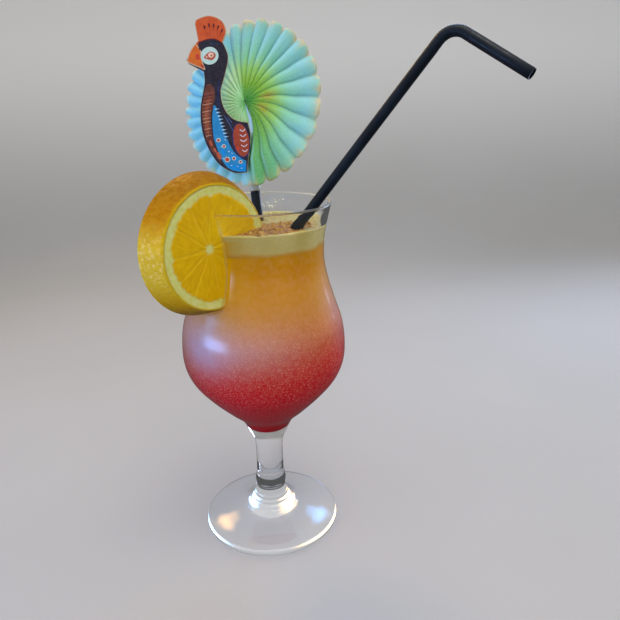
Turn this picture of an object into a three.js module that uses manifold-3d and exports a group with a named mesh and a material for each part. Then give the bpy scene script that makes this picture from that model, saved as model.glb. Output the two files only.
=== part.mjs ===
// Sunset cocktail in a short-stemmed tulip glass, with a thick orange slice on the rim,
// a bent drinking straw, and a paper peacock pick that stands in a second, short straw.
// Millimetres, +Z up. The origin is the centre of the glass foot's underside, and the
// drink is seen from -Y, with the slice on the left and the bent straw to the right.
import * as THREE from 'three';
import { mergeVertices } from 'three/addons/utils/BufferGeometryUtils.js';
import Module from 'manifold-3d';

const wasm = await Module();
wasm.setup();

// Clearance kept between touching pieces
const GAP = 0.32;

// Stations of the glass's outside are [radius, height], from the foot's edge to the rim
const GLASS = {
  sides: 40,
  bowlSteps: 17,
  height: 181,
  wall: 2.1,
  lip: 0.75,
  footEdge: [[36.4, 0], [37.1, 0.8], [37.1, 2.6], [36.3, 3.6]],
  footTop: [[36.3, 3.6], [32, 4.8], [26, 6.1], [19, 8.2], [14, 10.8], [10.6, 14.2], [8.7, 18.2]],
  knuckle: [[8.7, 18.2], [8.0, 21], [8.5, 24.5], [8.0, 28], [7.5, 31.5]],
  stem: [[7.5, 31.5], [7.4, 42], [7.7, 49], [8.8, 53], [10.6, 57]],
  bowl: [[10.6, 57], [14.6, 64.5], [22.4, 72], [31.9, 82], [39.2, 92], [42.3, 103], [41.4, 118],
    [37.8, 130], [34.2, 142], [32.2, 153], [32.7, 165], [34.5, 174], [36.2, 181]],
  cupFloor: [[0, 58.6], [4.4, 59.3], [8.6, 61.6], [12.2, 65.4]],
};

// The drink's levels: each layer is named with its top height and colour
const DRINK = {
  floorLift: GAP,
  layers: [
    { name: 'drink_red', top: 87, colour: 0xa81c30 },
    { name: 'drink_coral', top: 115, colour: 0xc46a62 },
    { name: 'drink_orange', top: 160.3, colour: 0xc88a48 },
    { name: 'foam', top: 171, colour: 0xb7ac74 },
  ],
};

// A wheel cut from a round fruit: both cut faces lie on the same side of its equator
const SLICE = {
  centre: [-19, -30.3, 165.7],
  turn: 42,
  fruitRadius: 34.05,
  frontRadius: 28.4,
  thickness: 11.6,
  segments: 11,
  stepsPerSegment: 4,
  coreRadius: 2.6,
  fleshInset: 4.6,
  pithInset: 1.2,
  bulge: 0.45,
  groove: 0.5,
  slack: 0.5,
};

// The bent straw leans on the rim's inside; lengths are measured from that contact
const STRAW = {
  radius: 2.4,
  wall: 0.4,
  sides: 12,
  contact: [25.67, -17.84, 181],
  azimuth: -21,
  elevation: 51.7,
  below: 101,
  toCorner: 94.3,
  shortArm: 39.2,
  turn: 84,
  swing: -17,
  bendRadius: 8,
  pleats: 8,
  pleatDepth: 0.22,
};

// The pick's axis leans to the left and away from the viewer; heights are along that axis
const PICK = {
  foot: [0.2, 2.6, 171],
  leanBack: 7,
  leanLeft: 3.8,
  strawBottom: -103,
  strawTop: 15,
  stickRadius: 1,
  stickBottom: 6,
  stickTop: 60,
  sleeveRadius: 2.7,
  sleeveTop: 18,
  tailCentre: 56.2,
};

const TAIL = {
  radius: 38,
  uneven: 0.05,
  widest: -35,
  hub: 1.2,
  turn: -32,
  aside: 1.6,
  forward: 3.35,
  leanBack: 4.8,
  dome: 2.6,
  thickness: 0.5,
  pleats: 30,
  scallop: 1.9,
  rings: [0.04, 0.34, 0.7, 1],
};

const CARD = {
  turn: -8,
  aside: 0.4,
  forward: 3.0,
  thickness: 0.8,
  relief: 0.25,
};

const DEG = Math.PI / 180;

function points2(list) {
  return list.map(([x, y]) => new THREE.Vector2(x, y));
}

// Smooth curve through the stations, as a list of [x, y] samples
function smooth(stations, samples) {
  const curve = new THREE.SplineCurve(points2(stations));
  return curve.getPoints(samples).map((p) => [p.x, p.y]);
}

// Joins samples into one run, dropping the stations that two neighbours share
function chain(...runs) {
  return runs.reduce((all, run) => all.concat(all.length ? run.slice(1) : run), []);
}

// One closed indexed surface from loose triangles, without slivers of no area
function welded(geometry) {
  const bare = new THREE.BufferGeometry();
  bare.setAttribute('position', geometry.getAttribute('position'));
  if (geometry.index) bare.setIndex(geometry.index);
  const merged = mergeVertices(bare, 1e-4);
  const index = merged.index.array;
  const kept = [];
  for (let i = 0; i < index.length; i += 3) {
    const [a, b, c] = [index[i], index[i + 1], index[i + 2]];
    if (a !== b && b !== c && c !== a) kept.push(a, b, c);
  }
  merged.setIndex(kept);
  return facingOut(merged);
}

function facingOut(geometry) {
  const p = geometry.getAttribute('position');
  const index = Array.from(geometry.index.array);
  const [a, b, c] = [new THREE.Vector3(), new THREE.Vector3(), new THREE.Vector3()];
  let volume = 0;
  for (let i = 0; i < index.length; i += 3) {
    a.fromBufferAttribute(p, index[i]);
    b.fromBufferAttribute(p, index[i + 1]);
    c.fromBufferAttribute(p, index[i + 2]);
    volume += a.dot(b.cross(c));
  }
  if (volume < 0) {
    for (let i = 0; i < index.length; i += 3) {
      [index[i], index[i + 1]] = [index[i + 1], index[i]];
    }
    geometry.setIndex(index);
  }
  return geometry;
}

// Turned solid about +Z from an outline of [radius, height]
function turned(outline, sides) {
  const lathe = new THREE.LatheGeometry(points2(outline), sides);
  lathe.rotateX(90 * DEG);
  return welded(lathe);
}

function toManifold(geometry, matrix) {
  const placed = geometry.clone();
  if (matrix) placed.applyMatrix4(matrix);
  return new wasm.Manifold(new wasm.Mesh({
    numProp: 3,
    vertProperties: new Float32Array(placed.getAttribute('position').array),
    triVerts: new Uint32Array(placed.index.array),
  }));
}

function fromManifold(manifold) {
  const mesh = manifold.getMesh();
  const geometry = new THREE.BufferGeometry();
  geometry.setAttribute('position', new THREE.BufferAttribute(mesh.vertProperties, 3));
  geometry.setIndex(Array.from(mesh.triVerts));
  return geometry;
}

// Takes the cutters, given in the object's frame, out of a placed mesh
function carve(mesh, cutters) {
  mesh.updateWorldMatrix(true, false);
  let solid = toManifold(mesh.geometry, mesh.matrixWorld);
  for (const cutter of cutters) solid = solid.subtract(cutter);
  const geometry = fromManifold(solid);
  geometry.applyMatrix4(mesh.matrixWorld.clone().invert());
  mesh.geometry = geometry;
}

function part(name, geometry, colour, roughness, metalness = 0) {
  const material = new THREE.MeshStandardMaterial({ color: colour, roughness, metalness });
  material.name = name;
  const mesh = new THREE.Mesh(geometry, material);
  mesh.name = name;
  return mesh;
}

// Glass

const bowlSamples = smooth(GLASS.bowl, GLASS.bowlSteps);

// The bowl's outside moved inwards along its own normal
function bowlInside(offset) {
  return bowlSamples.map(([r, z], i) => {
    const [r0, z0] = bowlSamples[Math.max(i - 1, 0)];
    const [r1, z1] = bowlSamples[Math.min(i + 1, bowlSamples.length - 1)];
    const length = Math.hypot(r1 - r0, z1 - z0);
    return [r - (offset * (z1 - z0)) / length, z + (offset * (r1 - r0)) / length];
  });
}

// The cup's inner outline from its floor upwards, moved into the cup by a clearance
function cupOutline(clearance) {
  const floor = smooth(GLASS.cupFloor, 4).map(([r, z]) => [Math.max(r - clearance, 0), z + clearance]);
  const joinHeight = floor[floor.length - 1][1];
  const side = bowlInside(GLASS.wall + clearance).filter(([, z]) => z > joinHeight + 1);
  return floor.concat(side);
}

function radiusAt(outline, height) {
  for (let i = 1; i < outline.length; i += 1) {
    const [r0, z0] = outline[i - 1];
    const [r1, z1] = outline[i];
    if (height <= z1) return r0 + ((r1 - r0) * (height - z0)) / (z1 - z0);
  }
  return outline[outline.length - 1][0];
}

function glassGeometry() {
  const outside = chain(
    [[0, 0], GLASS.footEdge[0]],
    GLASS.footEdge,
    smooth(GLASS.footTop, 6),
    smooth(GLASS.knuckle, 6),
    smooth(GLASS.stem, 4),
    bowlSamples,
  );
  const inside = cupOutline(0).filter(([, z]) => z < GLASS.height - GLASS.lip);
  const rim = GLASS.height;
  const lipOuter = outside[outside.length - 1][0];
  const lipInner = lipOuter - GLASS.wall;
  outside[outside.length - 1] = [lipOuter, rim - GLASS.lip];
  const lip = [[lipOuter - GLASS.lip, rim], [lipInner + GLASS.lip, rim], [lipInner, rim - GLASS.lip]];
  return turned([...outside, ...lip, ...inside.reverse()], GLASS.sides);
}

// The wall with its clearance, which cuts the slit of whatever hangs on the rim
function wallCutter() {
  const slitFoot = 120;
  const above = ([, z]) => z > slitFoot;
  const outer = bowlInside(-SLICE.slack).filter(above);
  const inner = bowlInside(GLASS.wall + SLICE.slack).filter(above);
  const top = GLASS.height + SLICE.slack;
  const [outerRim] = outer[outer.length - 1];
  const [innerRim] = inner[inner.length - 1];
  const outline = [...outer, [outerRim, top], [innerRim, top], ...inner.reverse()];
  return toManifold(turned([...outline, outline[0]], GLASS.sides));
}

// Drink and foam

function layerGeometry(bottom, top) {
  const cup = cupOutline(GAP);
  const lowest = cup[0][1] + DRINK.floorLift;
  const from = Math.max(bottom, lowest);
  const between = cup.filter(([, z]) => z > from + 1 && z < top - 1);
  const base = bottom < lowest ? [[0, cup[0][1]]] : [[0, from], [radiusAt(cup, from), from]];
  const side = bottom < lowest ? cup.filter(([r, z]) => r > 1 && z < top - 1) : between;
  return turned([...base, ...side, [radiusAt(cup, top), top], [0, top]], GLASS.sides);
}

// Orange slice

// Closed surface of rings round +Z, from the front pole to the back pole
function ringed(rings, sectors) {
  const positions = [];
  const index = [];
  for (const ring of rings) {
    for (let s = 0; s < sectors; s += 1) {
      const angle = (2 * Math.PI * s) / sectors;
      const r = ring.radius;
      positions.push(r * Math.cos(angle), r * Math.sin(angle), ring.height(s));
    }
  }
  for (let k = 0; k + 1 < rings.length; k += 1) {
    for (let s = 0; s < sectors; s += 1) {
      const next = (s + 1) % sectors;
      const [a, b] = [k * sectors + s, k * sectors + next];
      const [c, d] = [a + sectors, b + sectors];
      index.push(a, c, b, b, c, d);
    }
  }
  const geometry = new THREE.BufferGeometry();
  geometry.setAttribute('position', new THREE.Float32BufferAttribute(positions, 3));
  geometry.setIndex(index);
  return welded(geometry);
}

// Rings of one cut face, from its centre to the rind; side is 1 in front and -1 behind
function faceRings(faceRadius, level, side) {
  const flesh = faceRadius - SLICE.fleshInset;
  const pulp = (share) => (s) => {
    const onMembrane = s % SLICE.stepsPerSegment === 0;
    return level + side * (onMembrane ? -SLICE.groove : SLICE.bulge) * share;
  };
  const flat = (depth) => () => level - side * depth;
  return [
    { radius: 0, height: flat(SLICE.groove) },
    { radius: SLICE.coreRadius, height: flat(0) },
    { radius: SLICE.coreRadius + 2.2, height: pulp(0.6) },
    { radius: flesh * 0.55, height: pulp(1) },
    { radius: flesh - 1.2, height: pulp(0.9) },
    { radius: flesh, height: flat(0.1) },
    { radius: faceRadius - SLICE.pithInset, height: flat(0) },
    { radius: faceRadius, height: flat(0.5) },
  ];
}

// Distance of the front face from the fruit's equator
const sliceOffset = Math.sqrt(SLICE.fruitRadius ** 2 - SLICE.frontRadius ** 2);
const backRadius = Math.sqrt(SLICE.fruitRadius ** 2 - (sliceOffset - SLICE.thickness) ** 2);
const sliceSectors = SLICE.segments * SLICE.stepsPerSegment;

// The rind's radius at a depth behind the front face
function rindRadius(depth, swell = 0) {
  return Math.sqrt((SLICE.fruitRadius + swell) ** 2 - (sliceOffset - depth) ** 2);
}

function sliceGeometry() {
  const rind = [2.2, 5.8, 9.4].map((depth) => ({ radius: rindRadius(depth), height: () => -depth }));
  const front = faceRings(SLICE.frontRadius, 0, 1);
  const back = faceRings(backRadius, -SLICE.thickness, -1).reverse();
  return ringed([...front, ...rind, ...back], sliceSectors);
}

// The slice without its relief, swollen by the clearance, for cutting the drink round it
function sliceCutterGeometry() {
  const face = SLICE.bulge + SLICE.slack;
  const depths = [0, 3.8, 7.6, SLICE.thickness];
  const edge = depths.map((d) => [rindRadius(d, SLICE.slack), -d]);
  const first = [edge[0][0], face];
  const last = [edge[edge.length - 1][0], -SLICE.thickness - face];
  const outline = [[0, face], first, ...edge, last, [0, last[1]]];
  return turned(outline, sliceSectors);
}

function hangOnRim(mesh) {
  mesh.position.set(...SLICE.centre);
  mesh.rotation.set(90 * DEG, 0, SLICE.turn * DEG, 'ZXY');
  return mesh;
}

// Straws

// Hollow tube swept along a path in its own XZ plane; each station has a point and a heading
function hollowTube(stations, sides, wall) {
  const positions = [];
  const index = [];
  const ring = (station, radius) => {
    const across = new THREE.Vector3(Math.cos(station.heading), 0, -Math.sin(station.heading));
    for (let s = 0; s < sides; s += 1) {
      const angle = (2 * Math.PI * s) / sides;
      const out = radius * Math.cos(angle);
      const side = radius * Math.sin(angle);
      positions.push(station.x + across.x * out, side, station.z + across.z * out);
    }
  };
  for (const station of stations) ring(station, station.radius);
  for (const station of [...stations].reverse()) ring(station, station.radius - wall);
  const rings = stations.length * 2;
  for (let k = 0; k < rings; k += 1) {
    const here = k * sides;
    const there = ((k + 1) % rings) * sides;
    for (let s = 0; s < sides; s += 1) {
      const next = (s + 1) % sides;
      index.push(here + s, here + next, there + s, here + next, there + next, there + s);
    }
  }
  const geometry = new THREE.BufferGeometry();
  geometry.setAttribute('position', new THREE.Float32BufferAttribute(positions, 3));
  geometry.setIndex(index);
  return welded(geometry);
}

// Heading 0 runs up +Z, and the bend turns it towards +X
function bentStations() {
  const { radius, bendRadius, pleats, pleatDepth } = STRAW;
  const turn = STRAW.turn * DEG;
  const tangent = bendRadius * Math.tan(turn / 2);
  const bendStart = STRAW.toCorner - tangent;
  const stations = [
    { x: 0, z: -STRAW.below, heading: 0, radius },
    { x: 0, z: 0, heading: 0, radius },
    { x: 0, z: bendStart - 1, heading: 0, radius },
  ];
  const steps = pleats * 2;
  for (let i = 0; i <= steps; i += 1) {
    const heading = (turn * i) / steps;
    stations.push({
      x: bendRadius * (1 - Math.cos(heading)),
      z: bendStart + bendRadius * Math.sin(heading),
      heading,
      radius: i % 2 === 0 ? radius - pleatDepth : radius,
    });
  }
  const end = stations[stations.length - 1];
  for (const reach of [1, STRAW.shortArm - tangent]) {
    stations.push({
      x: end.x + reach * Math.sin(turn),
      z: end.z + reach * Math.cos(turn),
      heading: turn,
      radius,
    });
  }
  return stations;
}

// A plain rod with the straw's clearance, along the part of a straw that enters the drink
function rodCutter(placed, bottom, top, radius) {
  const rod = turned([[0, bottom], [radius, bottom], [radius, top], [0, top]], STRAW.sides);
  placed.updateWorldMatrix(true, false);
  return toManifold(rod, placed.matrixWorld);
}

// Paper tail

// Angles of the folds round the tail, wide on the right and narrow on the left
function foldAngles() {
  const steps = TAIL.pleats * 2;
  const pitch = (angle) => 12.3 + 2.9 * Math.cos(angle + 10 * DEG);
  const angles = [-90 * DEG];
  for (let i = 0; i < steps; i += 1) {
    const last = angles[i];
    angles.push(last + (pitch(last) / 2) * DEG);
  }
  const sweep = 357 * DEG;
  const reach = angles[steps] - angles[0];
  return angles.map((a) => angles[0] + ((a - angles[0]) * sweep) / reach);
}

// How far the first fold stands clear of the seam, at a radius
function seamBow(radius) {
  const bow = 1.2 + 2.6 * Math.sin(Math.PI * Math.min(radius / 26, 1));
  return Math.min(Math.asin(Math.min(bow / radius, 1)), 25 * DEG);
}

// Forward lift of the tail's rim, by the share of the way round from the seam
function rimLift(share, angle) {
  const lean = -TAIL.leanBack * Math.sin(angle) - TAIL.dome * THREE.MathUtils.smoothstep(share, 0, 0.25);
  const tucked = THREE.MathUtils.smoothstep(share, 0.8, 1);
  return lean * (1 - tucked) - 0.5 * tucked;
}

function tailGeometry() {
  const folds = foldAngles();
  const columns = [];
  for (let i = 0; i + 1 < folds.length; i += 1) {
    columns.push({ angle: folds[i], fold: i % 2 === 0 ? -1 : 1, middle: false });
    columns.push({ angle: (folds[i] + folds[i + 1]) / 2, fold: 0, middle: true });
  }
  columns.push({ angle: folds[folds.length - 1], fold: -1, middle: false });
  const points = (column, ringShare, depth) => {
    const share = columns.indexOf(column) / (columns.length - 1);
    const notch = column.fold < 0 ? TAIL.scallop : (column.middle ? TAIL.scallop * 0.2 : 0);
    const reach = TAIL.radius * (1 + TAIL.uneven * Math.cos(column.angle - TAIL.widest * DEG));
    const radius = Math.max((reach - notch) * ringShare, TAIL.hub);
    const angle = column.angle + seamBow(radius) * (1 - share) ** 3;
    const halfDepth = THREE.MathUtils.lerp(1.2, 1.6, share) * ringShare;
    const calm = 1 - 0.6 * THREE.MathUtils.smoothstep(share, 0.9, 1);
    const forward = TAIL.forward + rimLift(share, angle) * ringShare + column.fold * halfDepth * calm;
    return [radius * Math.cos(angle), -forward + depth, radius * Math.sin(angle)];
  };
  const positions = [];
  const half = TAIL.thickness / 2;
  for (const depth of [-half, half]) {
    for (const column of columns) {
      for (const ringShare of TAIL.rings) positions.push(...points(column, ringShare, depth));
    }
  }
  const rings = TAIL.rings.length;
  const face = columns.length * rings;
  const index = [];
  const quad = (a, b, c, d) => index.push(a, b, c, a, c, d);
  for (let i = 0; i + 1 < columns.length; i += 1) {
    for (let k = 0; k + 1 < rings; k += 1) {
      const a = i * rings + k;
      quad(a, a + 1, a + rings + 1, a + rings);
      quad(face + a, face + a + rings, face + a + rings + 1, face + a + 1);
    }
    const inner = i * rings;
    const outer = inner + rings - 1;
    quad(inner, inner + rings, face + inner + rings, face + inner);
    quad(outer, face + outer, face + outer + rings, outer + rings);
  }
  for (let k = 0; k + 1 < rings; k += 1) {
    const last = (columns.length - 1) * rings + k;
    quad(k, face + k, face + k + 1, k + 1);
    quad(last, last + 1, face + last + 1, face + last);
  }
  const geometry = new THREE.BufferGeometry();
  geometry.setAttribute('position', new THREE.Float32BufferAttribute(positions, 3));
  geometry.setIndex(index);
  return welded(geometry);
}

// Peacock card: its outline runs from the crest down the back, along the belly and up the throat

function cardShape() {
  const shape = new THREE.Shape();
  const through = (list) => shape.splineThru(points2(list));
  shape.moveTo(-18.5, 29.2);
  shape.lineTo(-19.0, 36.6);
  through([[-17.6, 38.4], [-11.6, 39.3], [-6.3, 36.5], [-4.8, 31.8], [-7.0, 27.2]]);
  through([[-5.3, 20.8], [-7.8, 13.2], [-10.8, 5.5], [-9.8, -2.3], [-5.8, -7.2], [0.3, -9.2]]);
  through([[1.0, -15.0], [-0.4, -21.5], [-2.8, -32.2]]);
  through([[-9.8, -31.4], [-17.0, -25.6], [-21.6, -14.0], [-21.6, -1.7], [-18.0, 10.3], [-17.6, 15.4]]);
  shape.lineTo(-24.2, 19.6);
  shape.lineTo(-25.1, 21.4);
  shape.lineTo(-21.2, 27.0);
  shape.closePath();
  return shape;
}

function ovalShape(x, z, halfWidth, halfHeight, tilt) {
  const oval = new THREE.Shape();
  oval.absellipse(x, z, halfWidth, halfHeight, 0, 2 * Math.PI, false, tilt * DEG);
  return oval;
}

// Flat shape stood upright in the XZ plane, between two distances in front of the pick's axis
function standing(shape, back, front, curveSteps) {
  const options = { depth: front - back, bevelEnabled: false, curveSegments: curveSteps };
  const geometry = new THREE.ExtrudeGeometry(shape, options);
  geometry.rotateX(90 * DEG);
  geometry.translate(0, -back, 0);
  return welded(geometry);
}

function cardGeometry() {
  const back = CARD.forward;
  const front = back + CARD.thickness;
  const sheet = toManifold(standing(cardShape(), back, front, 6));
  const overlap = CARD.thickness / 2;
  const raised = [ovalShape(-3.9, -16.6, 3.6, 7.4, 6), ovalShape(-13.6, 21.7, 4.3, 3.9, 0)];
  return fromManifold(raised.reduce((card, shape) => (
    card.add(toManifold(standing(shape, front - overlap, front + CARD.relief, 10)))
  ), sheet));
}

// Assembly

const cocktail = new THREE.Group();
cocktail.add(part('glass', glassGeometry(), 0xdfe6ea, 0.05));

const slice = hangOnRim(part('orange_slice', sliceGeometry(), 0xc99412, 0.5));
cocktail.add(slice);

const strawLean = new THREE.Group();
strawLean.position.set(...STRAW.contact);
strawLean.rotation.set(0, (90 - STRAW.elevation) * DEG, STRAW.azimuth * DEG, 'ZYX');
const straw = part('straw', hollowTube(bentStations(), STRAW.sides, STRAW.wall), 0x14181f, 0.35);
straw.rotation.z = STRAW.swing * DEG;
strawLean.add(straw);
cocktail.add(strawLean);

const pick = new THREE.Group();
pick.position.set(...PICK.foot);
pick.rotation.set(-PICK.leanBack * DEG, -PICK.leanLeft * DEG, 0);
cocktail.add(pick);

const shortStations = [PICK.strawBottom, PICK.strawTop].map((z) => (
  { x: 0, z, heading: 0, radius: STRAW.radius }
));
const shortStraw = part('straw_short', hollowTube(shortStations, STRAW.sides, STRAW.wall), 0x12151a, 0.35);
pick.add(shortStraw);

const stickSides = 8;
const stickTip = 2.5;
const stickOutline = [
  [0, PICK.stickBottom], [PICK.stickRadius * 0.5, PICK.stickBottom],
  [PICK.stickRadius, PICK.stickBottom + stickTip], [PICK.stickRadius, PICK.stickTop], [0, PICK.stickTop],
];
pick.add(part('pick_stick', turned(stickOutline, stickSides), 0xc9a878, 0.7));

const sleeveBottom = PICK.strawTop + GAP;
const sleeveBore = PICK.stickRadius + GAP;
const sleeveOutline = [
  [sleeveBore, sleeveBottom], [PICK.sleeveRadius, sleeveBottom],
  [PICK.sleeveRadius - 0.3, PICK.sleeveTop], [sleeveBore, PICK.sleeveTop], [sleeveBore, sleeveBottom],
];
pick.add(part('pick_sleeve', turned(sleeveOutline, STRAW.sides), 0x9aa3a6, 0.5));

const tail = part('paper_tail', tailGeometry(), 0x78c8a8, 0.75);
tail.position.set(TAIL.aside, 0, PICK.tailCentre);
tail.rotation.z = TAIL.turn * DEG;
pick.add(tail);

const card = part('peacock_card', cardGeometry(), 0x35303c, 0.6);
card.position.set(CARD.aside, 0, PICK.tailCentre);
card.rotation.z = CARD.turn * DEG;
pick.add(card);

// Cutting: the slice straddles the glass wall, and the drink gives way to slice and straws
cocktail.updateMatrixWorld(true);
carve(slice, [wallCutter()]);

const rodRadius = STRAW.radius + GAP;
const overshoot = 1;
const drinkCutters = [
  toManifold(sliceCutterGeometry(), slice.matrixWorld),
  rodCutter(straw, -STRAW.below - overshoot, 0, rodRadius),
  rodCutter(shortStraw, PICK.strawBottom - overshoot, PICK.strawTop, rodRadius),
];
let floor = 0;
for (const { name, top, colour } of DRINK.layers) {
  const layer = part(name, layerGeometry(floor, top), colour, 0.3);
  carve(layer, drinkCutters);
  cocktail.add(layer);
  floor = top + GAP;
}

export default cocktail;
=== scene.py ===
import itertools
from math import cos, hypot, pi, radians, sin, sqrt, tan

import bmesh
import bpy
import numpy as np
from mathutils import Matrix, Vector


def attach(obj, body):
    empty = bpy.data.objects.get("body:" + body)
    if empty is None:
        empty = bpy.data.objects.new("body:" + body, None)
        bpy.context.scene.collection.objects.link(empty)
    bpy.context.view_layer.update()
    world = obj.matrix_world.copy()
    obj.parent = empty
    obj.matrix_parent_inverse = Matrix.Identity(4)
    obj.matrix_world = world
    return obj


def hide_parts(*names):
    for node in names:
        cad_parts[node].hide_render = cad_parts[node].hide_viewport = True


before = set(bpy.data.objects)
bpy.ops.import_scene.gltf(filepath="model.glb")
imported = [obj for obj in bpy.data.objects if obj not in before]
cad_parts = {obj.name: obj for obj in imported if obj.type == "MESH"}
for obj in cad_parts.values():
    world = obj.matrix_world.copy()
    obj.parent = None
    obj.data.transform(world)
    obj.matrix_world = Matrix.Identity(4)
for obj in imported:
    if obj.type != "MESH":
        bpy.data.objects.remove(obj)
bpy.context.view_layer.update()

MM = 0.001
BODY = "root"
RANDOM = np.random.default_rng(7)
HASH = (73856093, 19349663, 83492791)
TABLE_SIZE = 4096


# Plain helpers

def rgb(red, green, blue):
    """Linear colour from screen values of 0 to 255."""
    values = []
    for level in (red, green, blue):
        share = level / 255
        values.append(share / 12.92 if share <= 0.04045 else ((share + 0.055) / 1.055) ** 2.4)
    return (*values, 1.0)


def smoothstep(values, low, high):
    share = np.clip((np.asarray(values, float) - low) / (high - low), 0, 1)
    return share * share * (3 - 2 * share)


def smooth(stations, samples):
    """Smooth curve through the stations, as samples + 1 points."""
    points = np.array(stations, float)
    last = len(points) - 1
    curve = []
    for place in np.linspace(0, last, samples + 1):
        i = min(int(place), last - 1)
        w = place - i
        a, b, c, d = points[max(i - 1, 0)], points[i], points[i + 1], points[min(i + 2, last)]
        leave, arrive = (c - a) / 2, (d - b) / 2
        curve.append((2 * b - 2 * c + leave + arrive) * w ** 3
                     + (3 * c - 3 * b - 2 * leave - arrive) * w ** 2 + leave * w + b)
    return np.array(curve)


def cell_noise(points, seed, spacing):
    """Smooth random field of about -1 to 1 over 3-D points, with bumps of the spacing's size."""
    table = np.random.default_rng(seed).uniform(-1, 1, TABLE_SIZE)
    places = np.asarray(points, float) / spacing
    low = np.floor(places).astype(int)
    part = places - low
    part = part * part * (3 - 2 * part)
    total = np.zeros(len(places))
    for corner in itertools.product((0, 1), repeat=3):
        key = np.bitwise_xor.reduce((low + corner) * HASH, axis=1)
        total += np.prod(np.abs(1 - np.array(corner) - part), axis=1) * table[key % TABLE_SIZE]
    return total


def across_line(line):
    """Unit normals to the left of a line of points."""
    ahead = np.gradient(line, axis=0)
    ahead /= np.linalg.norm(ahead, axis=1)[:, None]
    return np.stack([-ahead[:, 1], ahead[:, 0]], axis=1)


def placed(vertices, rotation, origin):
    return np.asarray(vertices) @ np.array(rotation).T + np.array(origin)


# Meshes

def skin(rings, closed=False):
    """Vertices and faces over rings of points. A ring drawn in to one point is one vertex."""
    vertices, indices = [], []
    for ring in rings:
        kept = ring[:1] if np.ptp(ring, axis=0).max() < 1e-6 else ring
        indices.append(range(len(vertices), len(vertices) + len(kept)))
        vertices.extend(kept)
    sides = len(rings[1])
    faces = []
    for lower, upper in zip(indices, indices[1:] + (indices[:1] if closed else [])):
        for s in range(sides):
            n = (s + 1) % sides
            corners = [row[k % len(row)] for row, k in ((lower, s), (lower, n), (upper, n), (upper, s))]
            face = tuple(dict.fromkeys(corners))
            if len(face) > 2:
                faces.append(face)
    return np.array(vertices), faces


def lathe(outline, sides, closed=False):
    """The skin of an outline of [radius, height] turned about +Z."""
    circle = [(cos(2 * pi * s / sides), sin(2 * pi * s / sides)) for s in range(sides)]
    rings = [[(radius * x, radius * y, height) for x, y in circle] for radius, height in outline]
    return skin(rings, closed)


def add_object(name, data):
    made = bpy.data.objects.new(name, data)
    bpy.context.scene.collection.objects.link(made)
    return made


def mesh_of(name, vertices, faces):
    mesh = bpy.data.meshes.new(name)
    mesh.from_pydata((np.asarray(vertices, float) * MM).tolist(), [], faces)
    return mesh


def face_outwards(mesh):
    work = bmesh.new()
    work.from_mesh(mesh)
    bmesh.ops.recalc_face_normals(work, faces=work.faces)
    work.to_mesh(mesh)
    work.free()


def finished_mesh(thing):
    """Mesh of an object with its modifiers or curve settings applied."""
    bpy.context.view_layer.update()
    return bpy.data.meshes.new_from_object(thing.evaluated_get(bpy.context.evaluated_depsgraph_get()))


def add_piece(name, vertices, faces, replaces, slot, material):
    """New mesh object from points in millimetres, riding on the only body."""
    mesh = mesh_of(name, vertices, faces)
    mesh.validate()
    return dress(name, mesh, replaces, material)


def dress(name, mesh, replaces, material, flat=False):
    piece = add_object(name, mesh)
    mesh.materials.append(material)
    mesh.polygons.foreach_set("use_smooth", [not flat] * len(mesh.polygons))
    face_outwards(mesh)
    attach(piece, BODY)
    if replaces:
        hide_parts(*replaces)
    return piece


def cut(piece, cutter_vertices, cutter_faces):
    """Takes a solid, given in millimetres, out of the piece."""
    mesh = mesh_of("cutter", cutter_vertices, cutter_faces)
    face_outwards(mesh)
    cutter = add_object("cutter", mesh)
    modifier = piece.modifiers.new("cut", "BOOLEAN")
    modifier.operation = "DIFFERENCE"
    modifier.solver = "MANIFOLD"
    modifier.object = cutter
    whole, piece_mesh = piece.data, finished_mesh(piece)
    piece.modifiers.clear()
    piece.data = piece_mesh
    bpy.data.objects.remove(cutter)
    for old in (mesh, whole):
        bpy.data.meshes.remove(old)


def store(piece, name, values):
    """Keeps one number for each vertex, for the materials to read."""
    layer = piece.data.attributes.new(name, "FLOAT", "POINT")
    layer.data.foreach_set("value", np.asarray(values, np.float32))


def vertex_places(mesh):
    """Vertices in the mesh's own units."""
    places = np.zeros(len(mesh.vertices) * 3)
    mesh.vertices.foreach_get("co", places)
    return places.reshape(-1, 3)


# Materials

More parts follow.
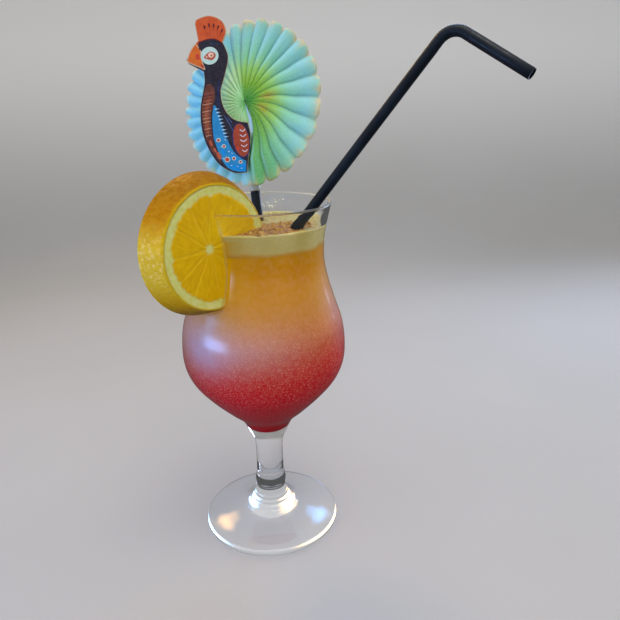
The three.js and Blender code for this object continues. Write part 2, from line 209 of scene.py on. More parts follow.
class Wiring:
    """A node tree. Its methods add nodes and return the socket that the next one reads.

    A plain name in place of a socket stands for the mesh's field of that name. Colours of
    three numbers are screen values of 0 to 255, and those of four are linear.
    """

    def __init__(self, tree):
        self.tree = tree

    def node(self, kind, inputs=None, **settings):
        made = self.tree.nodes.new(kind)
        for key, value in settings.items():
            setattr(made, key, value)
        for key, value in (inputs or {}).items():
            self.feed(made.inputs[key], value)
        return made

    def feed(self, socket, value):
        if isinstance(value, str):
            value = self.node("ShaderNodeAttribute", attribute_name=value).outputs["Fac"]
        if isinstance(value, bpy.types.NodeSocket):
            self.tree.links.new(value, socket)
        elif socket.type == "RGBA" and len(value) == 3:
            socket.default_value = rgb(*value)
        else:
            socket.default_value = value

    def math(self, operation, first, second):
        return self.node("ShaderNodeMath", {0: first, 1: second}, operation=operation).outputs[0]

    def times(self, first, second):
        return self.math("MULTIPLY", first, second)

    def swing(self, field, reach):
        """A field of 0 to 1 as a swing to both sides of zero."""
        return self.times(self.math("SUBTRACT", field, 0.5), reach)

    def level(self, factor, low, high, to_low=0.0, to_high=1.0, kind="SMOOTHSTEP"):
        """The factor's range from low to high, spread over another range and kept inside it."""
        inputs = {"Value": factor, "From Min": low, "From Max": high, "To Min": to_low, "To Max": to_high}
        return self.node("ShaderNodeMapRange", inputs, interpolation_type=kind).outputs[0]

    def place(self):
        return self.node("ShaderNodeTexCoord").outputs["Object"]

    def height(self):
        return self.node("ShaderNodeSeparateXYZ", {0: self.place()}).outputs["Z"]

    def stretched(self, scale):
        return self.node("ShaderNodeMapping", {"Vector": self.place(), "Scale": scale}).outputs[0]

    def noise(self, scale, detail=3.0, vector=None):
        inputs = {"Scale": scale, "Detail": detail, "Roughness": 0.55, "Vector": vector or self.place()}
        return self.node("ShaderNodeTexNoise", inputs).outputs["Fac"]

    def cells(self, scale):
        inputs = {"Scale": scale, "Vector": self.place()}
        return self.node("ShaderNodeTexVoronoi", inputs).outputs["Distance"]

    def ramp(self, factor, *stops):
        made = self.node("ShaderNodeValToRGB", {"Fac": factor})
        elements = made.color_ramp.elements
        while len(elements) < len(stops):
            elements.new(0.5)
        for element, (position, colour) in zip(elements, stops):
            element.position = position
            element.color = rgb(*colour)
        return made.outputs["Color"]

    def mix(self, factor, first, second, blend="MIX"):
        inputs = {0: factor, 6: first, 7: second}
        return self.node("ShaderNodeMix", inputs, data_type="RGBA", blend_type=blend).outputs[2]

    def mottled(self, scale, first, second, low=0.3, high=0.7, detail=4.0):
        """Two colours in soft patches."""
        return self.mix(self.level(self.noise(scale, detail), low, high), first, second)

    def layered(self, colour, *layers):
        """A colour with others over it, each with where it shows."""
        for where, layer in layers:
            colour = self.mix(where, colour, layer)
        return colour


class Look(Wiring):
    """The material of one kind of surface."""

    def __init__(self, name, **settings):
        self.material = bpy.data.materials.new(name)
        self.material.use_nodes = True
        super().__init__(self.material.node_tree)
        self.shader = self.tree.nodes["Principled BSDF"]
        self.normal = None
        for socket, value in settings.items():
            self.set(socket.replace("_", " "), value)

    def set(self, socket, value):
        self.feed(self.shader.inputs[socket], value)

    def relief(self, height, depth, strength):
        """Adds a bump, with its depth in millimetres, to those before it."""
        inputs = {"Height": height, "Distance": depth * MM, "Strength": strength}
        if self.normal:
            inputs["Normal"] = self.normal
        self.normal = self.node("ShaderNodeBump", inputs).outputs["Normal"]
        self.set("Normal", self.normal)


def glass_look():
    look = Look("clear_glass_look", Roughness=0.0, IOR=1.48, Transmission_Weight=1.0,
                Specular_IOR_Level=0.13)
    # The lip is tinted gold, a painted glint of warm light on the rim. It is also rougher there.
    lip = look.level(look.height(), (GLASS_HEIGHT - 1.5) * MM, (GLASS_HEIGHT - 0.7) * MM)
    look.set("Base Color", look.mix(lip, (0.985, 0.992, 0.995, 1), (1.0, 0.95, 0.84, 1)))
    look.relief(look.noise(28, 2.0, look.stretched((1, 1, 2.2))), 0.6, 0.12)
    smear = look.level(look.noise(55, 4.0), 0.5, 0.9, 0.0, 0.04)
    look.set("Roughness", look.math("MAXIMUM", smear, look.times(lip, 0.3)))
    path = look.node("ShaderNodeLightPath").outputs["Is Shadow Ray"]
    clear = look.node("ShaderNodeBsdfTransparent", {"Color": (0.9, 0.92, 0.93, 1)}).outputs[0]
    mixed = look.node("ShaderNodeMixShader", {0: path, 1: look.shader.outputs[0], 2: clear})
    look.feed(look.tree.nodes["Material Output"].inputs["Surface"], mixed.outputs[0])
    return look.material


# Stops of the drink's colour: height, then screen colour
DRINK_STOPS = [
    (58, (176, 0, 22)), (80, (190, 0, 28)), (90, (196, 2, 30)), (98, (198, 20, 28)),
    (105, (194, 46, 30)), (112, (190, 84, 42)), (120, (192, 116, 54)), (130, (194, 134, 50)),
    (140, (200, 140, 30)), (152, (200, 138, 4)), (161, (200, 142, 10)),
]
DRINK_RANGE = (55.0, 165.0)
# Small bubbles in the drink: cells to a metre, size in a cell, strength
DRINK_DOTS = [(560, 0.24, 0.40), (1050, 0.32, 0.38), (1700, 0.40, 0.36)]


def drink_look():
    look = Look("drink_look", Roughness=0.35, IOR=1.34, Specular_IOR_Level=0.04, Subsurface_Weight=0.35,
                Subsurface_Radius=(1.0, 0.45, 0.25), Subsurface_Scale=2.5 * MM)
    shift = look.swing(look.noise(24, 3.0, look.stretched((1, 1, 0.6))), 14 * MM)
    sideways = look.times(look.node("ShaderNodeSeparateXYZ", {0: look.place()}).outputs["X"], -0.11)
    height = look.math("ADD", look.math("ADD", look.height(), shift), sideways)
    low, high = DRINK_RANGE
    share = look.level(height, low * MM, high * MM, kind="LINEAR")
    colour = look.ramp(share, *[((z - low) / (high - low), stop) for z, stop in DRINK_STOPS])
    above = look.level(look.height(), 86 * MM, 116 * MM)
    cloud = look.times(look.level(look.noise(420, 4.0), 0.35, 0.7), 0.16)
    colour = look.mix(look.times(cloud, above), colour, (214, 168, 126))
    band = look.times(look.level(look.height(), 66 * MM, 100 * MM),
                      look.level(look.height(), 142 * MM, 116 * MM))
    for scale, size, strength in DRINK_DOTS:
        dots = look.times(look.level(look.cells(scale), size, size * 0.4), band)
        colour = look.mix(look.times(dots, strength), colour, (232, 176, 156))
    # Pale lavender patches painted over the drink: a painted reflection of the window light on the bowl.
    mist = look.times("mist", look.level(look.noise(300, 4.0), 0.2, 0.8, 0.75, 1.0))
    look.set("Base Color", look.layered(colour, ("fruit", (226, 176, 0)), (mist, (188, 180, 218))))
    look.relief(look.noise(700, 2.0), 0.08, 0.3)
    return look.material


def foam_look():
    look = Look("foam_look", Roughness=0.5, Specular_IOR_Level=0.25, Subsurface_Weight=0.3,
                Subsurface_Radius=(1.0, 0.8, 0.5), Subsurface_Scale=1.5 * MM)
    fine = look.cells(1900)
    cream = look.mottled(90, (196, 182, 106), (208, 196, 134))
    cream = look.mix(look.level(fine, 0.1, 0.6, 0, 0.5), cream, (180, 160, 84))
    brown = look.mottled(260, (126, 76, 18), (176, 130, 58), 0.35, 0.65)
    wave = look.swing(look.noise(52, 4.0), 6 * MM)
    low = look.level(look.math("ADD", look.height(), wave), 163.0 * MM, 160.3 * MM)
    look.set("Base Color", look.layered(
        brown, ("froth", cream), ("fruit", (206, 160, 20)), (low, (194, 142, 34)),
        ("speck", (248, 242, 222))))
    look.relief(fine, 0.06, 0.4)
    look.relief(look.cells(700), 0.15, 0.35)
    return look.material


def bubble_look():
    """Thin wet film over golden froth."""
    look = Look("bubble_look", Roughness=0.18, IOR=1.34, Specular_IOR_Level=0.25, Coat_Weight=0.2)
    look.set("Base Color", look.mottled(420, (142, 92, 24), (196, 156, 82), 0.35, 0.65, 2.0))
    look.relief(look.noise(900, 2.0), 0.04, 0.3)
    return look.material


def slice_look():
    look = Look("orange_slice_look", Subsurface_Weight=0.15, Subsurface_Radius=(1.0, 0.6, 0.15),
                Subsurface_Scale=1.6 * MM)
    flesh = look.ramp("vesicle", (0.0, (212, 164, 0)), (0.5, (222, 178, 0)), (1.0, (230, 190, 4)))
    patch = look.level(look.noise(70, 3.0), 0.4, 0.65)
    flesh = look.mix(look.times(patch, 0.3), flesh, (222, 166, 0))
    pith = look.mottled(420, (208, 208, 106), (218, 220, 142))
    pores = look.cells(760)
    # The rind's colour runs by height: painted shade darkens the top, a painted sheen lightens the middle
    # band, and it is darker towards the bottom.
    rind = look.ramp("height", (0.0, (126, 94, 0)), (0.12, (188, 146, 0)), (0.34, (222, 188, 44)),
                     (0.58, (232, 194, 46)), (0.8, (184, 122, 0)), (1.0, (152, 100, 0)))
    mottle = look.times(look.level(look.noise(420, 3.0), 0.35, 0.65), 0.16)
    # Pale flecks across the middle of the rind: a painted sheen.
    middle = look.times(look.level("height", 0.2, 0.4), look.level("height", 0.78, 0.56))
    painted_sheen_flecks = look.times(look.level(look.noise(520, 3.0), 0.48, 0.66, 0, 0.6), middle)
    rind = look.layered(
        rind, (look.level(look.noise(45, 3.0), 0.35, 0.7, 0, 0.14), (196, 124, 0)), (mottle, (224, 182, 50)),
        (look.level(pores, 0.3, 0.05, 0, 0.25), (170, 108, 0)), (painted_sheen_flecks, (246, 218, 132)))
    # Flesh inside the glass wall gets a pale painted highlight of the glass edge.
    look.set("Base Color", look.layered(
        pith, ("flesh", flesh), (look.times("membrane", 0.22), (230, 200, 50)),
        (look.times("in_wall", 0.5), (216, 188, 100)), ("zest", look.mix("ripe", (204, 172, 14), rind))))
    look.set("Roughness", look.level("flesh", 0.2, 0.8, 0.44, 0.3))
    look.set("Specular IOR Level", look.level("zest", 0.0, 1.0, 0.2, 0.08))
    look.relief(look.times(look.level(pores, 0.4, 0.0), "zest"), -0.3, 0.8)
    look.relief(look.times(look.noise(420, 2.0), "zest"), 0.7, 0.9)
    look.relief(look.noise(900, 3.0), 0.1, 0.25)
    return look.material


def straw_look():
    look = Look("black_straw_look", Specular_IOR_Level=0.25)
    look.set("Base Color", look.mottled(60, (11, 19, 29), (18, 30, 42), 0.35, 0.7, 3.0))
    look.set("Roughness", look.level(look.noise(240, 3.0), 0.3, 0.7, 0.34, 0.5))
    look.relief(look.noise(300, 2.0, look.stretched((1, 1, 0.08))), 0.05, 0.25)
    return look.material


def wood_look():
    look = Look("pick_wood_look", Roughness=0.6)
    grain = look.noise(500, 4.0, look.stretched((1, 1, 0.06)))
    look.set("Base Color", look.mix(look.level(grain, 0.35, 0.65), (196, 158, 108), (226, 196, 148)))
    look.relief(grain, 0.1, 0.4)
    return look.material


def sleeve_look():
    look = Look("grey_sleeve_look", Roughness=0.3, IOR=1.45, Transmission_Weight=0.35)
    cloud = look.noise(300, 3.0)
    look.set("Base Color", look.mix(cloud, (176, 186, 190), (206, 214, 216)))
    look.relief(cloud, 0.1, 0.3)
    return look.material


def tail_look():
    look = Look("tail_paper_look", Roughness=0.75, Specular_IOR_Level=0.2, Subsurface_Weight=0.15,
                Subsurface_Radius=(0.6, 1.0, 0.8), Subsurface_Scale=1.0 * MM, Sheen_Weight=0.05)
    polar = look.node("ShaderNodeAttribute", attribute_name="polar").outputs["Vector"]
    out = look.math("ADD", "out", look.swing(look.noise(1.0, 3.0, polar), 0.26))
    right = look.ramp(out, (0.0, (12, 104, 8)), (0.10, (56, 146, 0)), (0.28, (130, 178, 20)),
                      (0.44, (148, 200, 96)), (0.60, (138, 206, 168)), (0.84, (142, 206, 202)),
                      (0.94, (156, 204, 186)), (1.0, (206, 192, 152)))
    # The left half is lighter and bluer: partly the paper's own colours, partly painted light from the left.
    left = look.ramp(out, (0.0, (60, 168, 50)), (0.12, (168, 220, 150)), (0.42, (190, 230, 186)),
                     (0.62, (154, 220, 212)), (0.82, (130, 210, 242)), (0.95, (140, 210, 234)),
                     (1.0, (196, 214, 196)))
    low = look.ramp(out, (0.0, (8, 92, 10)), (0.25, (88, 152, 18)), (0.6, (100, 174, 76)),
                    (0.86, (86, 176, 96)), (0.97, (130, 184, 122)), (1.0, (180, 188, 140)))
    # The flank layers are painted light and shade: one face of each pleat lit, the other shaded.
    colour = look.layered(
        right, ("left", left), ("low", low), (look.times("rust", 0.6), (190, 128, 24)),
        (look.times("painted_lit_flank", 0.46), (156, 218, 230)), (look.times("painted_shaded_flank", 0.24), (90, 172, 150)))
    # Painted shade, laid darker in the pleats' valleys.
    shade = look.mix(1.0, colour, (70, 140, 150), "MULTIPLY")
    fibre = look.noise(1400, 4.0)
    # The seam layer is a painted shadow of the first pleat on the last.
    look.set("Base Color", look.layered(
        colour, (look.times("valley", 0.5), shade), ("strip", (176, 208, 226)), ("seam_shadow", (24, 84, 60)),
        (look.level(fibre, 0.3, 0.75, 0, 0.12), (236, 246, 236))))
    look.relief(look.noise(260, 3.0), 0.2, 0.35)
    look.relief(fibre, 0.06, 0.4)
    return look.material


def print_look(name, colour, second=None, roughness=0.55):
    """Ink on thin card: slightly mottled colour over paper fibres."""
    look = Look(name, Roughness=roughness, Specular_IOR_Level=0.25)
    inked = look.mottled(420, colour, second or [min(255, c + 14) for c in colour], 0.3, 0.72)
    speck = look.level(look.noise(2200, 2.0), 0.62, 0.8, 0, 0.25)
    look.set("Base Color", look.mix(speck, inked, (210, 196, 176)))
    look.relief(look.noise(1500, 3.0), 0.05, 0.35)
    return look.material


# Glass: stations of the outside are [radius, height], as the solid has them

GLASS_HEIGHT = 181.0
WALL = 2.1
RIM_THINNING = 0.7
SOLE_RADIUS = 29
SOLE_HOLLOW = 0.7
FOOT_EDGE = [[36.4, 0], [37.1, 0.8], [37.1, 2.6], [36.3, 3.6]]
FOOT_TOP = [[36.3, 3.6], [32, 4.8], [26, 6.1], [19, 8.2], [14, 10.8], [10.6, 14.2], [8.7, 18.2]]
KNUCKLE = [[8.7, 18.2], [8.0, 21], [8.5, 24.5], [8.0, 28], [7.5, 31.5]]
STEM = [[7.5, 31.5], [7.4, 42], [7.7, 49], [8.8, 53], [10.6, 57]]
BOWL = [[10.6, 57], [14.6, 64.5], [22.4, 72], [31.9, 82], [39.2, 92], [42.3, 103], [41.4, 118],
        [37.8, 130], [34.2, 142], [32.2, 153], [32.7, 165], [34.5, 174], [36.2, 181]]
CUP_FLOOR = [[0, 58.6], [4.4, 59.3], [8.6, 61.6], [12.2, 65.4]]
# Above this height the outline is the upper wall and lip, and the slice's slit is cut
SPLIT = 118
GLASS_SIDES = 192
BOWL_CURVE = smooth(BOWL, 96)


def offset_curve(curve, offset):
    """The curve moved towards the axis along its own normal."""
    return curve + offset * across_line(curve)


def cup_curve(outwards):
    """The cup's inside from its floor to the rim, moved into the glass by a distance."""
    floor = smooth(CUP_FLOOR, 24)
    floor = np.maximum(floor + [outwards, -outwards], [0, 0])
    floor[0, 0] = 0
    side = offset_curve(BOWL_CURVE, WALL - outwards)
    side[:, 0] += RIM_THINNING * smoothstep(side[:, 1], 171.5, 180)
    return np.vstack([floor, side[side[:, 1] > floor[-1, 1] + 0.8]])


def wall_top():
    """Outline of the upper wall and its round lip."""
    half = (WALL - RIM_THINNING) / 2
    lip_centre = BOWL_CURVE[-1, 0] - half
    lip_height = GLASS_HEIGHT - half
    turns = np.linspace(0, pi, 11)
    lip = np.stack([lip_centre + half * np.cos(turns), lip_height + half * np.sin(turns)], axis=1)
    sides = []
    for side in (BOWL_CURVE, cup_curve(0)):
        sides.append(side[(side[:, 1] > SPLIT) & (side[:, 1] < lip_height - 0.2)])
    return np.vstack([sides[0], lip, sides[1][::-1]])


def rippled(curve, bottom, top, depth, pitch):
    """Shallow rings round a stretch of the outline, as pressed glass has."""
    inside = (curve[:, 1] > bottom) & (curve[:, 1] < top)
    wave = np.sin((curve[:, 1] - bottom) * 2 * pi / pitch)
    fade = np.sin(np.clip((curve[:, 1] - bottom) / (top - bottom), 0, 1) * pi)
    moved = curve.copy()
    moved[inside, 0] += (depth * wave * fade)[inside]
    return moved


def make_glass(material):
    sole = [[r, SOLE_HOLLOW * (1 - (r / SOLE_RADIUS) ** 2)] for r in np.linspace(0, SOLE_RADIUS, 12)]
    cone = rippled(smooth(FOOT_TOP, 70), bottom=9.5, top=18.2, depth=0.22, pitch=2.2)
    outside = np.vstack([
        sole, [[31, 0.0], [35.6, 0.0]], smooth(FOOT_EDGE, 12), cone[1:],
        smooth(KNUCKLE, 30)[1:], smooth(STEM, 30)[1:], BOWL_CURVE[1:]])
    inside = cup_curve(0)
    outline = np.vstack([outside[outside[:, 1] <= SPLIT], wall_top(), inside[inside[:, 1] <= SPLIT][::-1]])
    piece = add_piece("glass_clear", *lathe(outline, GLASS_SIDES), ["glass"], "clear_glass", material)
    piece.visible_glossy = False


# Drink and foam: both reach a little way into the wall, so that no air shows between

INTO_WALL = 0.3
# Painted reflection of the window light on the bowl, as pale patches: strength, bearing and its spread in
# degrees, height and its spread
GLARE_PATCHES = [(0.60, -44, 20, 117, 11), (0.22, -8, 32, 118, 10), (0.26, -78, 24, 124, 16),
        (0.25, 72, 16, 130, 18)]
FOAM_BOTTOM = 160.45
FOAM_TOP = 171.0
# Places lower than this are on the foam's side or bottom
FOAM_SIDE = FOAM_TOP - 2
# Rings this close to an edge keep smooth shading from rounding it
CRISP = 0.04


def radius_at(curve, height):
    return float(np.interp(height, curve[:, 1], curve[:, 0]))


def make_drink(material):
    cup = cup_curve(INTO_WALL)
    edge = radius_at(cup, FOAM_BOTTOM)
    lid = [[radius_at(cup, FOAM_BOTTOM - CRISP), FOAM_BOTTOM - CRISP]]
    lid += [[r, FOAM_BOTTOM] for r in (edge, edge - CRISP, edge * 0.66, edge * 0.33, 0)]
    vertices, faces = lathe(np.vstack([cup[cup[:, 1] < FOAM_BOTTOM - 0.3], lid]), GLASS_SIDES)
    replaced = ["drink_red", "drink_coral", "drink_orange"]
    piece = add_piece("drink", vertices, faces, replaced, "coral_juice", material)
    places = vertex_places(piece.data) / MM
    store(piece, "fruit", near_fruit(places))
    # Where the painted reflection of the window light lies on the drink's side.
    turn = np.degrees(np.arctan2(places[:, 0], -places[:, 1]))
    mist = sum(strength * np.exp(-((turn - middle) / width) ** 2 - ((places[:, 2] - height) / reach) ** 2)
               for strength, middle, width, height, reach in GLARE_PATCHES)
    store(piece, "mist", mist)


def near_fruit(places):
    """How much of the slice shows through the drink's side: all where they meet, less in front of it."""
    x, y, z = slice_local(places).T
    gap = np.maximum(z, -THICKNESS - z)
    ahead = 0.5 * smoothstep(gap, 4.0, 0.0) + 0.5 * smoothstep(gap, 15.0, 0.0)
    return ahead * smoothstep(np.hypot(x, y) - rind_radius(np.clip(-z, 0, THICKNESS)), 1.5, -6.0)


def foam_surface(x, y):
    """Height of the foam's top, and how creamy it is, from 0 for bare juice to 1 at the wall."""
    reach = np.hypot(x, y)
    places = np.stack([x, y, np.zeros_like(x)], axis=1)
    lumps = cell_noise(places, 11, 5.0) * 0.35 + cell_noise(places, 12, 2.0) * 0.16
    wall = smoothstep(reach, 26, 31.2)
    behind = smoothstep(y + 3.5 * cell_noise(places, 13, 7.0), -11, -3)
    beside = smoothstep(reach + 2.2 * cell_noise(places, 14, 4.0), 24, 29)
    creamy = np.clip(np.maximum(beside, behind), 0, 1)
    height = FOAM_TOP - 1.0 + lumps * (0.4 + 0.6 * creamy) + 0.5 * creamy + 0.5 * wall ** 2
    return np.minimum(height, FOAM_TOP), creamy


def make_foam(material):
    cup = cup_curve(INTO_WALL)
    bottom_edge, top_edge = radius_at(cup, FOAM_BOTTOM), radius_at(cup, FOAM_TOP)
    outline = [[r, FOAM_BOTTOM] for r in (0, bottom_edge * 0.5, bottom_edge - CRISP, bottom_edge)]
    outline.append([radius_at(cup, FOAM_BOTTOM + CRISP), FOAM_BOTTOM + CRISP])
    outline += cup[(cup[:, 1] > FOAM_BOTTOM + 0.3) & (cup[:, 1] < FOAM_TOP - 0.5)].tolist()
    outline += [[r, FOAM_TOP] for r in np.linspace(top_edge, 0, 70)]
    vertices, faces = lathe(outline, GLASS_SIDES)
    top = vertices[:, 2] > FOAM_TOP - 1e-6
    vertices[top, 2] = foam_surface(vertices[:, 0], vertices[:, 1])[0][top]
    piece = add_piece("foam_cap", vertices, faces, ["foam"], "juice_foam", material)
    places = vertex_places(piece.data) / MM
    low = places[:, 2] < FOAM_SIDE
    store(piece, "froth", np.where(low, 1.0, foam_surface(places[:, 0], places[:, 1])[1]))
    store(piece, "fruit", near_fruit(places) * low * 0.8)


def ball(radius, sectors=8, rings=6):
    """Small round bubble."""
    outline = [[radius * cos(t), radius * sin(t)] for t in np.linspace(-pi / 2, pi / 2, rings + 1)]
    return lathe(outline, sectors)


def scattered(name, places, radii, material):
    """Many bubbles joined as one mesh."""
    vertices, faces = [], []
    for place, radius in zip(places, radii):
        points, around = ball(radius)
        start = len(vertices)
        vertices.extend(points + place)
        faces.extend([tuple(start + i for i in face) for face in around])
    return add_piece(name, vertices, faces, (), "juice_foam", material)


def make_bubbles(material, foam):
    """Bubbles on the foam, and a few that cling to the inside of the wall at the back."""
    spread, count = 30.0, 900
    angle = RANDOM.uniform(0, 2 * pi, count)
    reach = spread * np.sqrt(RANDOM.uniform(0, 1, count))
    x, y = reach * np.cos(angle), reach * np.sin(angle)
    height, creamy = foam_surface(x, y)
    radii = np.where(creamy > 0.5, 0.22, 0.55) * RANDOM.lognormal(0, 0.5, count)
    radii = np.clip(radii, 0.16, 1.7)
    places = np.stack([x, y, np.minimum(height - 0.25 * radii, FOAM_TOP - radii)], axis=1)
    clear = [clear_of_slice(place, radius) for place, radius in zip(places, radii)]
    scattered("foam_bubbles", places[clear], radii[clear], material)
    count = 22
    angle = radians(88) + RANDOM.normal(0, 0.24, count)
    height = RANDOM.uniform(172.0, 177.5, count)
    radii = RANDOM.uniform(0.25, 0.6, count)
    wall = cup_curve(0)
    reach = np.array([radius_at(wall, z) for z in height]) - radii * 0.7
    places = np.stack([reach * np.cos(angle), reach * np.sin(angle), height], axis=1)
    specks = scattered("wall_bubbles", places, radii, foam)
    store(specks, "speck", np.ones(len(specks.data.vertices)))


# Orange slice: a wheel whose front face is at depth 0, and whose equator lies behind it.
# Its own frame has +Z out of the front face.

SLICE_CENTRE = Vector((-19, -30.3, 165.7))
SLICE_TURN = 42
FRUIT_RADIUS = 34.05
FRONT_RADIUS = 28.4
THICKNESS = 11.6
PITH = 4.1
SEGMENTS = 11
CORE = (-4.0, 0.4)
# The slit that the glass stands in, as distances under the glass's outer face
SLIT = (0.5, 0.74)
SLICE_SECTORS = 432
SLICE_AXES = Matrix.Rotation(radians(SLICE_TURN), 3, "Z") @ Matrix.Rotation(radians(90), 3, "X")
EQUATOR = sqrt(FRUIT_RADIUS ** 2 - FRONT_RADIUS ** 2)


def slice_local(places):
    return (np.asarray(places) - np.array(SLICE_CENTRE)) @ np.array(SLICE_AXES)


def rind_radius(depth):
    return np.sqrt(FRUIT_RADIUS ** 2 - (EQUATOR - depth) ** 2)


BACK_RADIUS = float(rind_radius(THICKNESS))


def clear_of_slice(place, radius):
    x, y, z = slice_local(place)
    depth = float(np.clip(-z, 0, THICKNESS))
    return not (-THICKNESS - radius < z < radius and hypot(x, y) < rind_radius(depth) + radius)


def from_core(x, y):
    """Distance and angle from the slice's core, which isn't quite in its middle."""
    return np.hypot(x - CORE[0], y - CORE[1]), np.arctan2(y - CORE[1], x - CORE[0])


def segment_share(angle):
    """Place across a segment, from -1 to 1 at its two membranes."""
    uneven = angle + 0.05 * np.sin(angle * 3 + 1.0) + 0.03 * np.sin(angle * 5)
    turns = (uneven + pi) / (2 * pi) * SEGMENTS
    return 2 * (turns - np.floor(turns)) - 1


def flesh_depth(x, y, face_radius):
    """Distance inside the edge where flesh meets pith: each segment ends in a rounded corner."""
    reach, angle = np.hypot(x, y), np.arctan2(y, x)
    across = np.abs(segment_share(from_core(x, y)[1]))
    ragged = 0.2 * np.sin(angle * 17 + 2) + 0.18 * np.sin(angle * 41)
    return face_radius - PITH - across ** 4 + ragged - reach


def membrane_gap(x, y):
    """Distance from the nearest membrane between two segments."""
    reach, angle = from_core(x, y)
    return (1 - np.abs(segment_share(angle))) * pi / SEGMENTS * reach


def juice_sacs(x, y, z):
    """Field of about -1 to 1 in strands that run outwards from the core."""
    reach, angle = from_core(x, y)
    strands = np.stack([angle * 15, reach / 2.6, z + 0 * reach], axis=1)
    return cell_noise(strands, 21, 1.0) * 0.6 + cell_noise(strands * 2.1, 22, 1.0) * 0.4


def star_edge(x, y):
    """Distance outside the white star at the core."""
    reach, angle = from_core(x, y)
    return reach - 1.7 - 1.5 * np.abs(segment_share(angle)) ** 3


def face_relief(x, y, face_radius):
    """Height of a cut face above its plane."""
    in_flesh = smoothstep(flesh_depth(x, y, face_radius), -0.2, 1.0)
    in_flesh *= smoothstep(star_edge(x, y), -0.2, 1.2)
    membrane = smoothstep(membrane_gap(x, y), 0.9, 0.15)
    flat = np.stack([x, y, np.zeros_like(x)], axis=1)
    pulp = 0.12 + 0.10 * juice_sacs(x, y, 0) + 0.10 * cell_noise(flat, 23, 3.0)
    fibre = 0.06 * cell_noise(flat, 24, 1.1) - 0.05
    return in_flesh * (pulp * (1 - membrane) - 0.05 * membrane) + (1 - in_flesh) * fibre


def face_rings(radii, face_radius, angles):
    """Rings of a cut face, from its relief. The outermost is a small bevel."""
    rings = []
    for r in radii:
        x, y = r * np.cos(angles), r * np.sin(angles)
        lift = face_relief(x, y, face_radius) if r < face_radius - 0.3 else np.full(len(angles), -0.08)
        rings.append(np.stack([x, y, lift], axis=1))
    return rings


def make_slice(material):
    angles = np.arange(SLICE_SECTORS) * 2 * pi / SLICE_SECTORS
    front = [*np.linspace(0, FRONT_RADIUS - 0.35, 76), FRONT_RADIUS - 0.12]
    rings = face_rings(front, FRONT_RADIUS, angles)
    for depth in np.linspace(0.28, THICKNESS - 0.28, 42):
        radius = rind_radius(depth)
        rind = np.stack([radius * np.cos(angles), radius * np.sin(angles), 0 * angles - depth], axis=1)
        pebbles = 0.17 * cell_noise(rind, 31, 1.5) + 0.22 * cell_noise(rind, 32, 7.0) - 0.2
        rind[:, :2] *= (1 + pebbles / radius)[:, None]
        rings.append(rind)
    back = face_rings([BACK_RADIUS - 0.12, *np.linspace(BACK_RADIUS - 0.35, 0, 70)], BACK_RADIUS, angles)
    rings += [ring * (1, 1, -1) - (0, 0, THICKNESS) for ring in back]
    vertices, faces = skin(rings)
    vertices = placed(vertices, SLICE_AXES, SLICE_CENTRE)
    piece = add_piece("orange_wheel", vertices, faces, ["orange_slice"], "orange_fruit", material)
    sides = [offset_curve(BOWL_CURVE, inwards)[::2] for inwards in SLIT]
    outline = np.vstack([sides[0], sides[1][::-1]])
    cut(piece, *lathe(outline[outline[:, 1] > SPLIT], GLASS_SIDES, closed=True))
    paint_slice(piece)


def paint_slice(piece):
    """Stores where flesh, membranes, rind and juice sacs are, for the slice's material."""
    places = vertex_places(piece.data) / MM
    x, y, z = slice_local(places).T
    depth = np.clip(-z, 0, THICKNESS)
    face_radius = np.where(depth < THICKNESS / 2, FRONT_RADIUS, BACK_RADIUS)
    flesh = smoothstep(flesh_depth(x, y, face_radius), -0.6, 0.6)
    flesh *= smoothstep(star_edge(x, y), -0.4, 0.5)
    height = places[:, 2]
    # Where the slice sits inside the glass wall, for a painted highlight of the glass edge.
    under = np.interp(height, BOWL_CURVE[:, 1], BOWL_CURVE[:, 0]) - np.hypot(places[:, 0], places[:, 1])
    in_wall = smoothstep(under, -0.5, 0.3) * smoothstep(under, 3.2, 1.6)
    store(piece, "in_wall", in_wall * smoothstep(GLASS_HEIGHT - height, 0, 9))
    # Height across the slice, which the rind's painted shade and sheen follow.
    store(piece, "height", np.clip(0.5 + y / (2 * FRONT_RADIUS), 0, 1))
    store(piece, "flesh", flesh)
    store(piece, "membrane", flesh * smoothstep(membrane_gap(x, y), 0.6, 0.1))
    store(piece, "vesicle", 0.5 + 0.5 * juice_sacs(x, y, depth))
    store(piece, "zest", smoothstep(rind_radius(depth) - np.hypot(x, y), 1.1, 0.4))
    store(piece, "ripe", 0.2 + 0.8 * smoothstep(depth, 0.0, 1.5))


# Straws: the long one's frame has its origin where it leans on the rim

STRAW_RADIUS = 2.4
STRAW_WALL = 0.35
STRAW_SIDES = 40
CONTACT = Vector((25.67, -17.84, 181))
AZIMUTH = -21
ELEVATION = 51.7
BELOW = 101
TO_CORNER = 94.3
SHORT_ARM = 39.2
TURN = radians(84)
SWING = -17
BEND_RADIUS = 8
PLEATS = 18
PLEAT_STEPS = 8
PLEAT_DEPTH = 0.09
# Length of the pleats before and after the bend, and of the plain stretch beside them
LEAD = 3.0
PLAIN = 1.2


